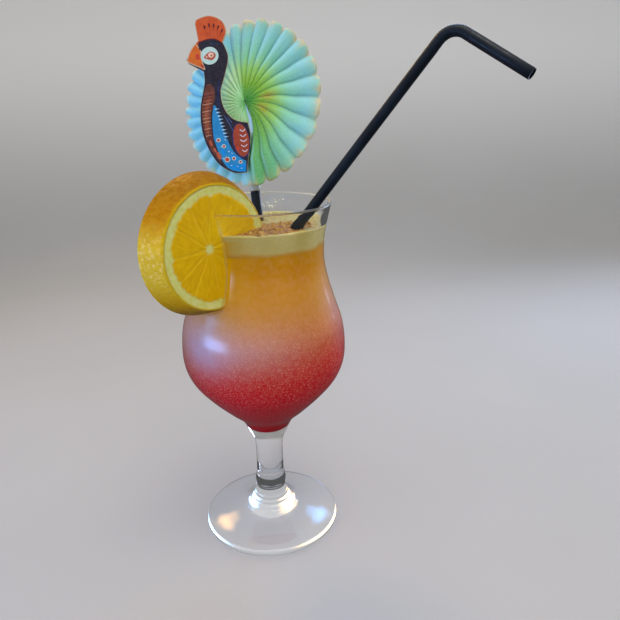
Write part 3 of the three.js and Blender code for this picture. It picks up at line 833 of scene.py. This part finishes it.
def bent_path():
    """Stations of x, z, heading and radius along the bent straw."""
    tangent = BEND_RADIUS * tan(TURN / 2)
    start = TO_CORNER - tangent
    path = [(0, z, 0, STRAW_RADIUS) for z in (-BELOW, -60, -30, 0, 30, start - LEAD - PLAIN)]

    def station(distance, radius):
        """Station at a distance past the start of the bend."""
        heading = min(max(distance / BEND_RADIUS, 0), TURN)
        past = min(distance, 0) + max(distance - BEND_RADIUS * TURN, 0)
        x = BEND_RADIUS * (1 - cos(heading)) + past * sin(heading)
        return x, start + BEND_RADIUS * sin(heading) + past * cos(heading), heading, radius

    arc = BEND_RADIUS * TURN
    steps = PLEATS * PLEAT_STEPS
    for i in range(steps + 1):
        wave = (0.5 - 0.5 * cos(2 * pi * i / PLEAT_STEPS)) ** 0.7
        path.append(station((arc + 2 * LEAD) * i / steps - LEAD, STRAW_RADIUS - PLEAT_DEPTH * wave))
    end = SHORT_ARM - tangent
    for reach in (LEAD + PLAIN, end * 0.6, end - 0.12):
        path.append(station(arc + reach, STRAW_RADIUS))
    return path + [station(arc + end, STRAW_RADIUS - 0.1)]


def tube(path):
    """Hollow straw along stations in its own XZ plane."""
    inner = [(x, z, heading, radius - STRAW_WALL) for x, z, heading, radius in reversed(path)]
    rings = []
    for x, z, heading, radius in path + inner:
        ring = []
        for s in range(STRAW_SIDES):
            turn = 2 * pi * s / STRAW_SIDES
            across = radius * cos(turn)
            ring.append((x + across * cos(heading), radius * sin(turn), z - across * sin(heading)))
        rings.append(ring)
    return skin(rings, closed=True)


def make_straws(material):
    lean = (Matrix.Rotation(radians(AZIMUTH), 3, "Z") @ Matrix.Rotation(radians(90 - ELEVATION), 3, "Y")
            @ Matrix.Rotation(radians(SWING), 3, "Z"))
    vertices, faces = tube(bent_path())
    add_piece("straw_bent", placed(vertices, lean, CONTACT), faces, ["straw"], "black_straw", material)
    ends = (HOLDER_BOTTOM, HOLDER_TOP)
    heights = [HOLDER_BOTTOM, HOLDER_BOTTOM + 0.15, -60, -20, 0, HOLDER_TOP - 0.15, HOLDER_TOP]
    vertices, faces = tube([(0, z, 0, STRAW_RADIUS - 0.1 if z in ends else STRAW_RADIUS) for z in heights])
    vertices = placed(vertices, PICK_AXES, PICK_FOOT)
    add_piece("straw_holder", vertices, faces, ["straw_short"], "black_straw", material)


# Pick: heights are along its own leaning axis, from its foot on the foam

PICK_FOOT = Vector((0.2, 2.6, 171))
PICK_AXES = Matrix.Rotation(radians(-7), 3, "X") @ Matrix.Rotation(radians(-3.8), 3, "Y")
HOLDER_BOTTOM = -103
HOLDER_TOP = 15
STICK = {"radius": 1.0, "bottom": 6.0, "top": 60.0}
SLEEVE = {"bore": 1.32, "radius": 2.7, "bottom": 15.32, "top": 18.0}
TAIL_CENTRE = 56.2


def make_pick(wood, film):
    radius, bottom, top = STICK.values()
    outline = [[0, bottom], [radius * 0.35, bottom + 0.2], [radius, bottom + 3]]
    outline += [[radius, z] for z in np.linspace(bottom + 4, top - 0.3, 20)]
    outline += [[radius - 0.25, top], [0, top]]
    vertices, faces = lathe(outline, 28)
    vertices[:, :2] *= (1 + 0.04 * cell_noise(vertices * (3, 3, 0.2), 41, 1.0))[:, None]
    add_piece("pick_rod", placed(vertices, PICK_AXES, PICK_FOOT), faces, ["pick_stick"], "pick_wood", wood)
    bore, radius, low, high = SLEEVE.values()
    middle = (low + high) / 2
    outline = [[bore, low], [radius - 0.3, low], [radius, low + 0.3], [radius - 0.1, middle],
               [radius - 0.35, high - 0.3], [radius - 0.7, high], [bore, high], [bore, middle]]
    vertices, faces = lathe(outline, 40, closed=True)
    vertices = placed(vertices, PICK_AXES, PICK_FOOT)
    add_piece("pick_collar", vertices, faces, ["pick_sleeve"], "grey_sleeve", film)


# Paper tail: pleats run once round the hub, from the seam below it and back to the seam

TAIL = {
    "radius": 38.0, "uneven": 0.05, "widest": -35, "hub": 0.35, "turn": -32, "aside": 1.6,
    "forward": 3.35, "lean_back": 4.8, "dome": 2.6, "thickness": 0.3, "pleats": 30, "scallop": 2.6,
}
FOLD_STEPS = 8
TAIL_RINGS = 30
TAIL_SWEEP = 358.5


def fold_angles():
    angles = [radians(-90)]
    for _ in range(TAIL["pleats"] * 2):
        last = angles[-1]
        angles.append(last + radians(12.3 + 2.9 * cos(last + radians(10))) / 2)
    angles = np.array(angles)
    return angles[0] + (angles - angles[0]) * radians(TAIL_SWEEP) / (angles[-1] - angles[0])


def seam_bow(radius):
    bow = 1.2 + 2.6 * np.sin(pi * np.minimum(radius / 26, 1))
    return np.minimum(np.arcsin(np.minimum(bow / radius, 1)), radians(25))


def make_tail(material):
    folds = fold_angles()
    half_pleats = len(folds) - 1
    place = np.linspace(0, half_pleats, half_pleats * FOLD_STEPS + 1)
    angle = np.interp(place, np.arange(half_pleats + 1), folds)
    angle, ring = np.meshgrid(angle, np.linspace(0.008, 1, TAIL_RINGS), indexing="ij")
    place = place[:, None] + 0 * ring
    from_valley = 1 - np.abs(place % 2 - 1)
    fold = 2 * np.sin(pi / 2 * from_valley) ** 0.8 - 1
    share = place / half_pleats
    leftwards = smoothstep(-np.cos(angle), -0.15, 0.5)
    uneven = np.random.default_rng(5).uniform(-0.5, 0.5, TAIL["pleats"] + 1)[(place // 2).astype(int)]
    notch = TAIL["scallop"] * (1 - 0.6 * leftwards) * ((1 - fold) / 2) ** 1.6 + 0.35 * uneven
    reach = TAIL["radius"] * (1 + TAIL["uneven"] * np.cos(angle - radians(TAIL["widest"])))
    radius = np.maximum((reach - notch) * ring, TAIL["hub"])
    bent = angle + seam_bow(radius) * ((1 - share) ** 3 + share ** 9)
    bent += radians(2.2) * np.sin(pi * ring) * smoothstep(share, 0.02, 0.2) * smoothstep(share, 1, 0.9)
    tucked = smoothstep(share, 0.8, 1)
    lean = -TAIL["lean_back"] * np.sin(angle) - TAIL["dome"] * smoothstep(share, 0, 0.25)
    lift = lean * (1 - tucked) - 0.5 * tucked
    calm = 1 - 0.6 * smoothstep(share, 0.9, 1)
    field = np.stack([bent.ravel() * 9, ring.ravel() * 5, 0 * ring.ravel()], axis=1)
    sag = 0.25 * cell_noise(field, 51, 1.0).reshape(ring.shape)
    forward = TAIL["forward"] + lift * ring + (fold * (1.0 + 0.3 * share) + sag) * ring * calm
    sides = []
    for back in (-TAIL["thickness"] / 2, TAIL["thickness"] / 2):
        side = np.stack([radius * np.cos(bent), -forward + back, radius * np.sin(bent)], axis=-1)
        sides.append(side.reshape(-1, 3))
    turn = Matrix.Rotation(radians(TAIL["turn"]), 3, "Z")
    vertices = placed(np.concatenate(sides), turn, (TAIL["aside"], 0, TAIL_CENTRE))
    vertices = placed(vertices, PICK_AXES, PICK_FOOT)
    faces = sheet_faces(*ring.shape)
    piece = add_piece("tail_paper", vertices, faces, ["paper_tail"], "tail_paper", material)
    paint_tail(piece, angle, ring, share, place, from_valley, leftwards)


def sheet_faces(columns, rows):
    """Faces of a thin sheet whose two sides are grids of points, and of its edges."""

    def at(side, column, row):
        return side * columns * rows + column * rows + row

    faces = []
    for i in range(columns - 1):
        for k in range(rows - 1):
            faces.append((at(0, i, k), at(0, i, k + 1), at(0, i + 1, k + 1), at(0, i + 1, k)))
            faces.append((at(1, i, k), at(1, i + 1, k), at(1, i + 1, k + 1), at(1, i, k + 1)))
        for k in (0, rows - 1):
            faces.append((at(0, i, k), at(0, i + 1, k), at(1, i + 1, k), at(1, i, k)))
    for i in (0, columns - 1):
        for k in range(rows - 1):
            faces.append((at(0, i, k), at(1, i, k), at(1, i, k + 1), at(0, i, k + 1)))
    return faces


def paint_tail(piece, angle, ring, share, place, from_valley, leftwards):
    """Stores the fields of colour on the pleats, with painted light and shade among them, the same on the
    front and the back.
    """

    def keep(name, values):
        store(piece, name, np.tile(values.ravel(), 2))

    keep("out", ring)
    # The left half, which the material paints lighter and bluer, partly as painted light.
    keep("left", leftwards)
    keep("low", smoothstep(share, 0.14, 0.02))
    rust = np.exp(-((angle - radians(-4)) / 0.13) ** 2 - ((ring - 0.32) / 0.10) ** 2)
    rust += 0.8 * np.exp(-((angle - radians(-34)) / 0.22) ** 2 - ((ring - 0.26) / 0.09) ** 2)
    keep("rust", rust)
    # Painted shade in the pleats' valleys, less towards the rim and on the left.
    crease = smoothstep(from_valley, 0.34, 0.0) * smoothstep(ring, 0.04, 0.35)
    keep("valley", crease * (1 - 0.6 * smoothstep(ring, 0.7, 1.0)) * (1 - 0.75 * leftwards))
    # Painted light and shade on the pleats' two faces: one face lit, the other shaded.
    outer = smoothstep(ring, 0.35, 0.7) * smoothstep(ring, 1.02, 0.9)
    flank = np.cos(pi * (place - 0.5)) * np.sin(angle + 0.6)
    keep("painted_lit_flank", outer * smoothstep(-flank, 0.1, 0.9))
    keep("painted_shaded_flank", outer * smoothstep(flank, 0.1, 0.9))
    last_pleat = smoothstep(share, 0.968, 0.98)
    keep("strip", last_pleat * smoothstep(ring, 0.42, 0.34) * smoothstep(ring, 0.02, 0.05))
    # Painted shadow that the first pleat casts on the last one, along the seam.
    keep("seam_shadow", smoothstep(share, 0.984, 0.99) * smoothstep(ring, 0.34, 0.42) * smoothstep(ring, 0.9, 0.7))
    polar = piece.data.attributes.new("polar", "FLOAT_VECTOR", "POINT")
    field = np.stack([np.cos(angle) * 14, np.sin(angle) * 14, ring * 2.5], axis=-1).ravel()
    polar.data.foreach_set("vector", np.tile(field, 2).astype(np.float32))


# Peacock card: flat shapes in the card's plane, x to the right and z up from the tail's hub

CARD_TURN = -8
CARD_ASIDE = 0.4
CARD_BACK = 3.0
CARD_FRONT = 3.8


def run(*stations, samples=10):
    """Smooth stretch of an outline, without its last point."""
    return smooth(stations, samples * (len(stations) - 1))[:-1].tolist()


def patch(samples, *sides):
    """Closed outline of smooth sides, each of which runs on to the next one's first point."""
    outline = []
    for side, following in zip(sides, sides[1:] + sides[:1]):
        outline += run(*side, following[0], samples=samples)
    return outline


def loop(*stations, samples):
    """Smooth closed outline through the stations."""
    count = len(stations)
    curve = smooth([stations[-1], *stations, stations[0], stations[1]], samples * (count + 2))
    return curve[samples:samples * (count + 1)].tolist()


def oval(x, z, half_width, half_height, tilt=0, points=48):
    turn = radians(tilt)
    outline = []
    for i in range(points):
        angle = 2 * pi * i / points
        across, up = half_width * cos(angle), half_height * sin(angle)
        outline.append([x + across * cos(turn) - up * sin(turn), z + across * sin(turn) + up * cos(turn)])
    return outline


def stroke(start, end, from_width, to_width):
    """Straight tapered stroke."""
    start, end = np.array(start, float), np.array(end, float)
    along = (end - start) / np.linalg.norm(end - start)
    across = np.array([-along[1], along[0]]) / 2
    return [(start - across * from_width).tolist(), (end - across * to_width).tolist(),
            (end + across * to_width).tolist(), (start + across * from_width).tolist()]


def ribbon(stations, width, samples=6):
    """Band of even width along a smooth line."""
    line = smooth(stations, samples * (len(stations) - 1))
    across = across_line(line) * width / 2
    return (line + across).tolist() + (line - across)[::-1].tolist()


def shrunk(outline, distance):
    """The outline moved inwards by a distance, corner by corner."""
    points = np.array(outline)
    following = np.roll(points, -1, axis=0)
    ahead = following - np.roll(points, 1, axis=0)
    ahead /= np.maximum(np.linalg.norm(ahead, axis=1), 1e-9)[:, None]
    area = np.sum(points[:, 0] * following[:, 1] - following[:, 0] * points[:, 1])
    inwards = np.stack([-ahead[:, 1], ahead[:, 0]], axis=1) * np.sign(area)
    return (points + inwards * distance).tolist()


def clipped(outline, height, side):
    """The part of the outline above a height, where side is 1, or below it, where side is -1."""
    points = []
    for (x0, z0), (x1, z1) in zip(outline, outline[1:] + outline[:1]):
        kept = side * (z0 - height) >= 0
        if kept:
            points.append([x0, z0])
        if kept != (side * (z1 - height) >= 0):
            points.append([x0 + (height - z0) / (z1 - z0) * (x1 - x0), height])
    return points


def plate(name, outlines, back, front, material, bevel=0.0, replaces=()):
    """Upright flat plates of the outlines, between two distances in front of the pick's axis."""
    curve = bpy.data.curves.new(name, "CURVE")
    curve.dimensions = "2D"
    curve.fill_mode = "BOTH"
    curve.extrude = (front - back) / 2 - bevel
    curve.bevel_depth = bevel
    curve.bevel_resolution = 2
    curve.offset = -bevel
    for outline in outlines:
        spline = curve.splines.new("POLY")
        spline.points.add(len(outline) - 1)
        for point, (x, z) in zip(spline.points, outline):
            point.co = (x, z, 0, 1)
        spline.use_cyclic_u = True
    holder = add_object(name, curve)
    mesh = finished_mesh(holder)
    bpy.data.objects.remove(holder)
    bpy.data.curves.remove(curve)
    work = bmesh.new()
    work.from_mesh(mesh)
    bmesh.ops.remove_doubles(work, verts=work.verts, dist=1e-4)
    work.to_mesh(mesh)
    work.free()
    mesh.materials.clear()
    flat = vertex_places(mesh)
    local = np.stack([flat[:, 0], -(back + front) / 2 - flat[:, 2], flat[:, 1]], axis=1)
    local = placed(local, Matrix.Rotation(radians(CARD_TURN), 3, "Z"), (CARD_ASIDE, 0, TAIL_CENTRE))
    mesh.vertices.foreach_set("co", (placed(local, PICK_AXES, PICK_FOOT) * MM).ravel())
    mesh.update()
    dress(name, mesh, replaces, material, flat=True)


INKS = {
    "navy": (36, 32, 44), "blue_black": (30, 44, 70), "maroon": (92, 26, 34), "rust": (160, 56, 34),
    "orange": (206, 98, 30), "red": (190, 58, 44), "mist": (184, 212, 204), "clay": (178, 88, 62),
    "blush": (232, 196, 178), "brown": (98, 52, 42), "warm_brown": (136, 72, 50), "tan": (196, 166, 138),
    "cream_brown": (206, 152, 120), "blue": (36, 132, 192), "bright_blue": (0, 132, 214),
    "sky": (160, 206, 228), "deep_blue": (28, 40, 96), "slate_blue": (66, 92, 146),
    "terracotta": (156, 62, 38), "lilac": (206, 200, 216), "crest": (198, 80, 36),
}
INK_LAYER = 0.03


class Printer:
    """Lays thin plates of ink on the card's front. A higher layer covers those below it."""

    def __init__(self):
        self.count = 0
        self.inks = {name: print_look(f"ink_{name}_look", colour) for name, colour in INKS.items()}

    def lay(self, layer, kind, ink, *outlines):
        self.count += 1
        name = f"print_{self.count:02d}_{kind}"
        plate(name, outlines, CARD_FRONT - 0.1, CARD_FRONT + 0.05 + layer * INK_LAYER, self.inks[ink])


NECKLINE = 27.0
HEAD_ARC = [(-18.5, 27.9), (-14.2, 28.9), (-10.6, 28.7), (-7.3, 26.7)]
CREST_MARKS = [(-14.6, 34.6), (-12.4, 35.1), (-10.3, 34.8), (-8.3, 33.9), (-6.7, 32.2)]
PANEL_EDGE = [(-13.9, -0.4), (-12.6, -4.8), (-11.9, -8.6), (-10.9, -13.2), (-9.6, -18.3),
              (-7.4, -22.7), (-4.4, -25.6), (-2.5, -26.6)]


def card_outline():
    crest = run((-19.0, 36.6), (-17.6, 38.4), (-11.6, 39.3), (-6.3, 36.5), (-4.8, 31.8), (-7.0, 27.2))
    back = run((-7.0, 27.2), (-5.3, 20.8), (-7.8, 13.2), (-10.8, 5.5), (-9.8, -2.3), (-5.8, -7.2),
               (0.3, -9.2))
    seam_shadow = run((0.3, -9.2), (1.0, -15.0), (-0.4, -21.5), (-2.8, -32.2))
    belly = run((-2.8, -32.2), (-9.8, -31.4), (-17.0, -25.6), (-21.6, -14.0), (-21.6, -1.7), (-18.0, 10.3),
                (-17.6, 15.4))
    beak = [[-17.6, 15.4], [-24.2, 19.6], [-25.1, 21.4], [-21.2, 27.0], [-18.5, 29.2]]
    return crest + back + seam_shadow + belly + beak


def print_breast(printer):
    """Brown band down the front, with fine pale bars."""
    printer.lay(1, "breast", "brown", patch(
        6, [(-17.2, 9.4), (-19.2, 4.4), (-20.7, -0.6), (-21.1, -7.0), (-20.8, -13.0), (-19.5, -18.0),
            (-17.6, -22.4)],
        [(-14.6, -26.9), (-15.4, -22.6), (-17.0, -17.4), (-17.3, -12.0), (-16.9, -5.0), (-15.5, -0.5),
         (-13.9, 3.5), (-13.6, 7.0), (-15.2, 9.8)]))
    printer.lay(2, "breast_glow", "warm_brown", patch(
        5, [(-18.0, 3.0), (-19.8, -3.0), (-20.2, -9.0)],
        [(-19.2, -14.0), (-18.2, -8.0), (-17.6, -2.0), (-16.0, 3.0)]))
    left = smooth([(-18.3, 7.2), (-20.6, -0.6), (-21.0, -7.0), (-20.5, -14.4)], 30)
    right = smooth([(-14.2, 7.0), (-15.9, -1.0), (-17.1, -7.0), (-17.6, -14.4)], 30)
    strong, faint = [], []
    for i in range(13):
        height = 5.6 - i * 1.58
        low = (np.interp(-height, -left[:, 1], left[:, 0]) + 0.15, height - 0.12)
        high = (np.interp(-height, -right[:, 1], right[:, 0]) - 0.15, height + 0.2)
        bars = strong if i in (3, 5, 7, 8, 10, 12) else faint
        bars.append(stroke(low, high, 0.3 if bars is strong else 0.18, 0.2))
    printer.lay(3, "breast_bar", "cream_brown", *strong)
    printer.lay(3, "breast_line", "clay", *faint)
    printer.lay(3, "breast_blob", "clay", oval(-18.5, -16.9, 0.6, 1.6, 14, 24),
                oval(-17.0, -20.3, 0.55, 1.1, 24, 24), oval(-15.4, -23.0, 0.95, 1.9, 22, 28))


def print_wing(printer):
    """Oval wing with plain curved bars, and a few strokes beside it."""
    printer.lay(1, "wing_ring", "deep_blue", oval(-3.9, -17.3, 4.2, 8.1, 3))
    quills = [stroke((-10.6 + i, -4.9 - 2.2 * i), (-8.7 + 0.95 * i, -8.2 - 2.2 * i), 0.15, 0.5)
              for i in range(3)]
    printer.lay(1, "quill", "slate_blue", *quills, stroke((-8.9, -5.6), (-7.2, -8.6), 0.12, 0.4))
    printer.lay(1, "neck_line", "deep_blue",
                ribbon([(-10.9, 11.0), (-11.9, 6.0), (-12.7, 1.4), (-12.1, -2.0)], 0.5))
    printer.lay(2, "wing", "terracotta", oval(-3.75, -17.0, 3.75, 7.6, 3))
    bars = []
    for i in range(5):
        z = -12.6 - 2.35 * i
        wide = 1.25 + 0.35 * sin(pi * i / 4)
        bars.append(ribbon([(-2.6 - wide, z + 0.55), (-2.6, z - 0.35), (-2.6 + wide, z + 0.55)], 0.42))
    printer.lay(3, "wing_bar", "lilac", *bars)
    printer.lay(3, "wing_dot", "red", oval(-5.7, -20.4, 0.7, 0.9, 20, 20),
                oval(-5.1, -12.4, 0.5, 0.7, -20, 20))


def print_panel(printer):
    """Blue panel with a row of pale teeth, dots and flecks."""
    panel = run((-14.9, 0.3), (-16.1, -4.3), (-16.7, -9.8), (-16.8, -14.7), (-15.9, -19.3), (-14.5, -24.2),
                (-12.5, -28.2), (-10.0, -30.3), (-6.4, -31.4), (-3.1, -31.7), samples=5)
    printer.lay(1, "panel", "blue", panel + [[-3.1, -31.7]] + smooth(PANEL_EDGE, 35)[::-1].tolist())
    hem = run((-12.9, -26.6), (-10.6, -27.6), (-6.6, -28.2), (-2.9, -28.0), samples=5)
    hem += [[-2.9, -28.0]] + run((-3.2, -31.4), (-6.6, -31.1), (-10.0, -29.9), (-12.9, -26.6), samples=5)
    printer.lay(2, "hem", "bright_blue", hem)
    printer.lay(2, "glaze", "bright_blue", oval(-8.2, -24.4, 2.3, 1.0, -48, 28),
                oval(-13.0, -21.6, 1.6, 0.7, -60, 24))
    edge = smooth(PANEL_EDGE, 70)
    teeth, notches = [], []
    for i in range(9):
        height = -1.7 - i * 1.62
        x = np.interp(-height, -edge[:, 1], edge[:, 0])
        teeth.append([[x - 1.1, height + 0.34], [x + 1.25, height + 0.06], [x - 0.9, height - 0.3]])
        notches.append([[x - 0.9, height - 0.75], [x + 0.15, height - 0.42], [x + 0.15, height - 1.2]])
    printer.lay(3, "tooth", "sky", *teeth)
    printer.lay(3, "notch", "navy", *notches)
    dots = [(-14.7, -15.9, 0.7), (-12.4, -18.9, 0.62), (-8.3, -25.0, 0.62), (-11.6, -25.2, 1.0),
            (-5.3, -26.9, 0.55)]
    flecks = [(-10.3, -21.6, -20), (-13.6, -19.0, 60), (-9.9, -28.2, 10), (-7.0, -28.9, -10),
              (-13.4, -24.6, 40), (-5.2, -29.9, 0), (-8.9, -22.6, -50), (-11.4, -16.0, 80)]
    printer.lay(4, "dot_ring", "mist", *[oval(x, z, r + 0.38, r + 0.3, 0, 24) for x, z, r in dots])
    printer.lay(4, "fleck", "sky", *[oval(x, z, 0.5, 0.2, turn, 16) for x, z, turn in flecks])
    printer.lay(5, "dot", "red", *[oval(x, z, r, r * 0.92, 0, 24) for x, z, r in dots])


def print_head(printer):
    """Crest, face, beak and eye."""
    marks, rays = [], []
    for i, (x, z) in enumerate(CREST_MARKS):
        lean = 6 - 8 * i
        marks.append(oval(x, z, 0.42, 0.95, lean, 20))
        foot = (-13.6 + 1.45 * i, 29.4)
        rays.append(stroke((x + 0.03 * lean, z - 0.8), foot, 0.3, 0.12))
        if i:
            rays.append(stroke((x - 1.0, z - 0.6), (foot[0] - 0.75, foot[1]), 0.16, 0.1))
    printer.lay(1, "crest_mark", "maroon", *marks)
    printer.lay(1, "crest_ray", "rust", *rays)
    printer.lay(1, "head_rim", "maroon", ribbon([(x, z + 0.15) for x, z in HEAD_ARC], 0.7, 10))
    beak = patch(4, [(-17.0, 16.5), (-19.2, 17.9), (-21.6, 19.1)],
                 [(-24.4, 20.7), (-23.4, 23.2), (-21.9, 25.4)],
                 [(-20.0, 27.5), (-18.6, 25.9), (-18.0, 24.2), (-18.1, 21.8), (-17.8, 19.0)])
    printer.lay(1, "beak_edge", "tan", shrunk(beak, -0.45))
    printer.lay(2, "beak", "orange", beak)
    cap = run(*HEAD_ARC) + [HEAD_ARC[-1], (-7.2, NECKLINE - 2), (-18.4, NECKLINE - 2)]
    printer.lay(2, "head_top", "navy", cap)
    printer.lay(3, "beak_spot", "red", oval(-19.5, 22.2, 0.9, 1.5, 10, 24),
                oval(-17.9, 17.9, 0.6, 1.0, 30, 20))
    printer.lay(4, "eye_patch", "mist", oval(-13.9, 22.1, 4.2, 3.85, 6))
    printer.lay(4, "head_glow", "blue_black", oval(-11.3, 27.1, 2.0, 0.55, -8, 24),
                oval(-15.2, 27.0, 0.9, 0.4, 8, 20))
    printer.lay(5, "eye_ring", "clay", loop(
        (-16.7, 21.5), (-15.3, 22.9), (-13.4, 23.8), (-11.7, 23.3), (-11.0, 22.1), (-11.6, 20.8),
        (-13.2, 20.1), (-15.2, 20.7), samples=5))
    printer.lay(6, "eye", "blush", oval(-13.2, 22.3, 1.25, 1.1, 0, 28),
                oval(-15.3, 21.7, 0.45, 0.3, 20, 16))
    printer.lay(7, "pupil", "clay", oval(-13.0, 22.1, 0.5, 0.45, 0, 20))


def make_card():
    printer = Printer()
    paper = print_look("card_paper_look", INKS["tan"], (212, 184, 156), 0.65)
    outline = card_outline()
    plate("peacock_sheet", [outline], CARD_BACK, CARD_FRONT, paper, 0.12, ["peacock_card"])
    printer.lay(0, "body", "navy", clipped(shrunk(outline, 0.12), NECKLINE, -1))
    printer.lay(0, "crest", "crest", clipped(shrunk(outline, 0.4), NECKLINE, 1))
    print_breast(printer)
    print_wing(printer)
    print_panel(printer)
    print_head(printer)


# Stage, light and camera, in metres

FLOOR = -0.15 * MM
STAGE_HALF = 12.0
STAGE_BACK = 1.1
STAGE_HEIGHT = 2.4
STAGE_BEND = 0.6
BEND_STEPS = 16


def make_stage():
    """Pale floor that bends up into a backdrop."""
    look = Look("floor_look", Roughness=0.85)
    low = look.mottled(3.0, (176, 175, 172), (181, 180, 178), detail=3.0)
    look.set("Base Color", look.mix(look.level(look.height(), 0.0, 0.36), low, (244, 243, 240)))
    profile = [(-STAGE_HALF, FLOOR)]
    for angle in np.linspace(0, pi / 2, BEND_STEPS + 1):
        profile.append((STAGE_BACK - STAGE_BEND * (1 - sin(angle)), FLOOR + STAGE_BEND * (1 - cos(angle))))
    profile.append((STAGE_BACK, STAGE_HEIGHT))
    vertices = [(x, y, z) for y, z in profile for x in (-STAGE_HALF, STAGE_HALF)]
    faces = [(2 * i, 2 * i + 1, 2 * i + 3, 2 * i + 2) for i in range(len(profile) - 1)]
    mesh = bpy.data.meshes.new("floor")
    mesh.from_pydata(vertices, [], faces)
    mesh.materials.append(look.material)
    mesh.polygons.foreach_set("use_smooth", [True] * len(faces))
    floor = add_object("floor", mesh)
    floor.visible_glossy = False


# Each lamp: place, width, height, power, spread in degrees and colour
LAMPS = {
    "window_left": ((-0.56, -0.22, 0.12), 0.70, 0.26, 0.7, 110, (0.30, 0.50, 1.0)),
    "front_fill": ((0.10, -1.25, 0.60), 1.70, 0.80, 3.8, 180, (1.0, 0.96, 0.94)),
    "window_right": ((0.72, 0.54, 0.30), 0.30, 0.56, 0.9, 70, (0.60, 0.72, 1.0)),
    "warm_back": ((-0.30, 0.80, 0.80), 0.60, 0.40, 0.9, 90, (1.0, 0.60, 0.22)),
    "cool_back": ((0.34, 0.80, 0.80), 0.50, 0.40, 0.7, 90, (0.20, 0.50, 1.0)),
    "warm_top": ((0.10, -0.15, 0.85), 0.60, 0.50, 2.0, 180, (1.0, 0.92, 0.80)),
}
LIT_POINT = Vector((0.0, 0.0, 0.13))
# These light the drink without a mirror image on the bowl
SOFT_ONLY = ("front_fill",)
# The middle of a softbox is this much brighter than a plain panel
PANEL_GAIN = 3.2
WORLD_COLOUR = (0.95, 0.965, 1.0, 1)
WORLD_SIDES = 0.34
WORLD_TOP = 0.66
WORLD_BELOW = 0.26


def soft_box(name, place, width, height, power, spread, colour):
    lamp = bpy.data.lights.new(name, "AREA")
    lamp.shape = "RECTANGLE"
    lamp.size = width
    lamp.size_y = height
    lamp.energy = power
    lamp.spread = radians(spread)
    lamp.color = colour
    fade_edges(lamp)
    light = add_object(name, lamp)
    light.location = place
    light.visible_camera = False
    light.visible_glossy = name not in SOFT_ONLY
    light.rotation_euler = (LIT_POINT - Vector(place)).to_track_quat("-Z", "Y").to_euler()


def fade_edges(lamp):
    """Dims a lamp's panel softly towards its edges, as a softbox is."""
    lamp.use_nodes = True
    wiring = Wiring(lamp.node_tree)
    where = wiring.node("ShaderNodeNewGeometry").outputs["Parametric"]
    panel = wiring.node("ShaderNodeSeparateXYZ", {0: where}).outputs
    fades = [wiring.level(wiring.math("PINGPONG", panel[axis], 0.5), 0.0, 0.45, kind="SMOOTHERSTEP")
             for axis in ("X", "Y")]
    strength = wiring.tree.nodes["Emission"].inputs["Strength"]
    wiring.feed(strength, wiring.times(wiring.times(*fades), PANEL_GAIN))


def make_world():
    """Bright overhead, dim at the sides and dark below, which gives clear glass its dark edges."""
    world = bpy.data.worlds.new("studio")
    world.use_nodes = True
    wiring = Wiring(world.node_tree)
    direction = wiring.node("ShaderNodeTexCoord").outputs["Generated"]
    up = wiring.node("ShaderNodeSeparateXYZ", {0: direction}).outputs["Z"]
    overhead = wiring.level(up, 0.1, 0.8, WORLD_SIDES, WORLD_TOP)
    below = wiring.level(up, -0.12, 0.04, WORLD_BELOW, 1.0)
    background = wiring.tree.nodes["Background"].inputs
    wiring.feed(background["Color"], WORLD_COLOUR)
    wiring.feed(background["Strength"], wiring.times(overhead, below))
    bpy.context.scene.world = world


CAMERA_PLACE = (0.0, -0.2987, 0.2282)
CAMERA_PITCH = 19.18
CAMERA_YAW = 4.70
CAMERA_ROLL = -1.25
FOCAL_PIXELS = 608.3
IMAGE_SIDE = 620
SENSOR = 36.0


def make_camera():
    pitch, yaw, roll = radians(CAMERA_PITCH), radians(CAMERA_YAW), radians(CAMERA_ROLL)
    ahead = Vector((sin(yaw) * cos(pitch), cos(yaw) * cos(pitch), -sin(pitch)))
    level = Vector((cos(yaw), -sin(yaw), 0))
    up = level.cross(ahead)
    right = level * cos(roll) + up * sin(roll)
    top = up * cos(roll) - level * sin(roll)
    data = bpy.data.cameras.new("camera")
    data.sensor_width = SENSOR
    data.lens = FOCAL_PIXELS / IMAGE_SIDE * SENSOR
    data.clip_start = 0.01
    camera = add_object("camera", data)
    turn = Matrix((right, top, -ahead)).transposed().to_4x4()
    camera.matrix_world = Matrix.Translation(CAMERA_PLACE) @ turn
    bpy.context.scene.camera = camera


def build():
    bpy.context.scene.view_settings.view_transform = "Standard"
    make_camera()
    make_stage()
    make_world()
    for name, lamp in LAMPS.items():
        soft_box(name, *lamp)
    make_glass(glass_look())
    make_drink(drink_look())
    foam = foam_look()
    make_foam(foam)
    make_bubbles(bubble_look(), foam)
    make_slice(slice_look())
    make_straws(straw_look())
    make_pick(wood_look(), sleeve_look())
    make_tail(tail_look())
    make_card()


build()
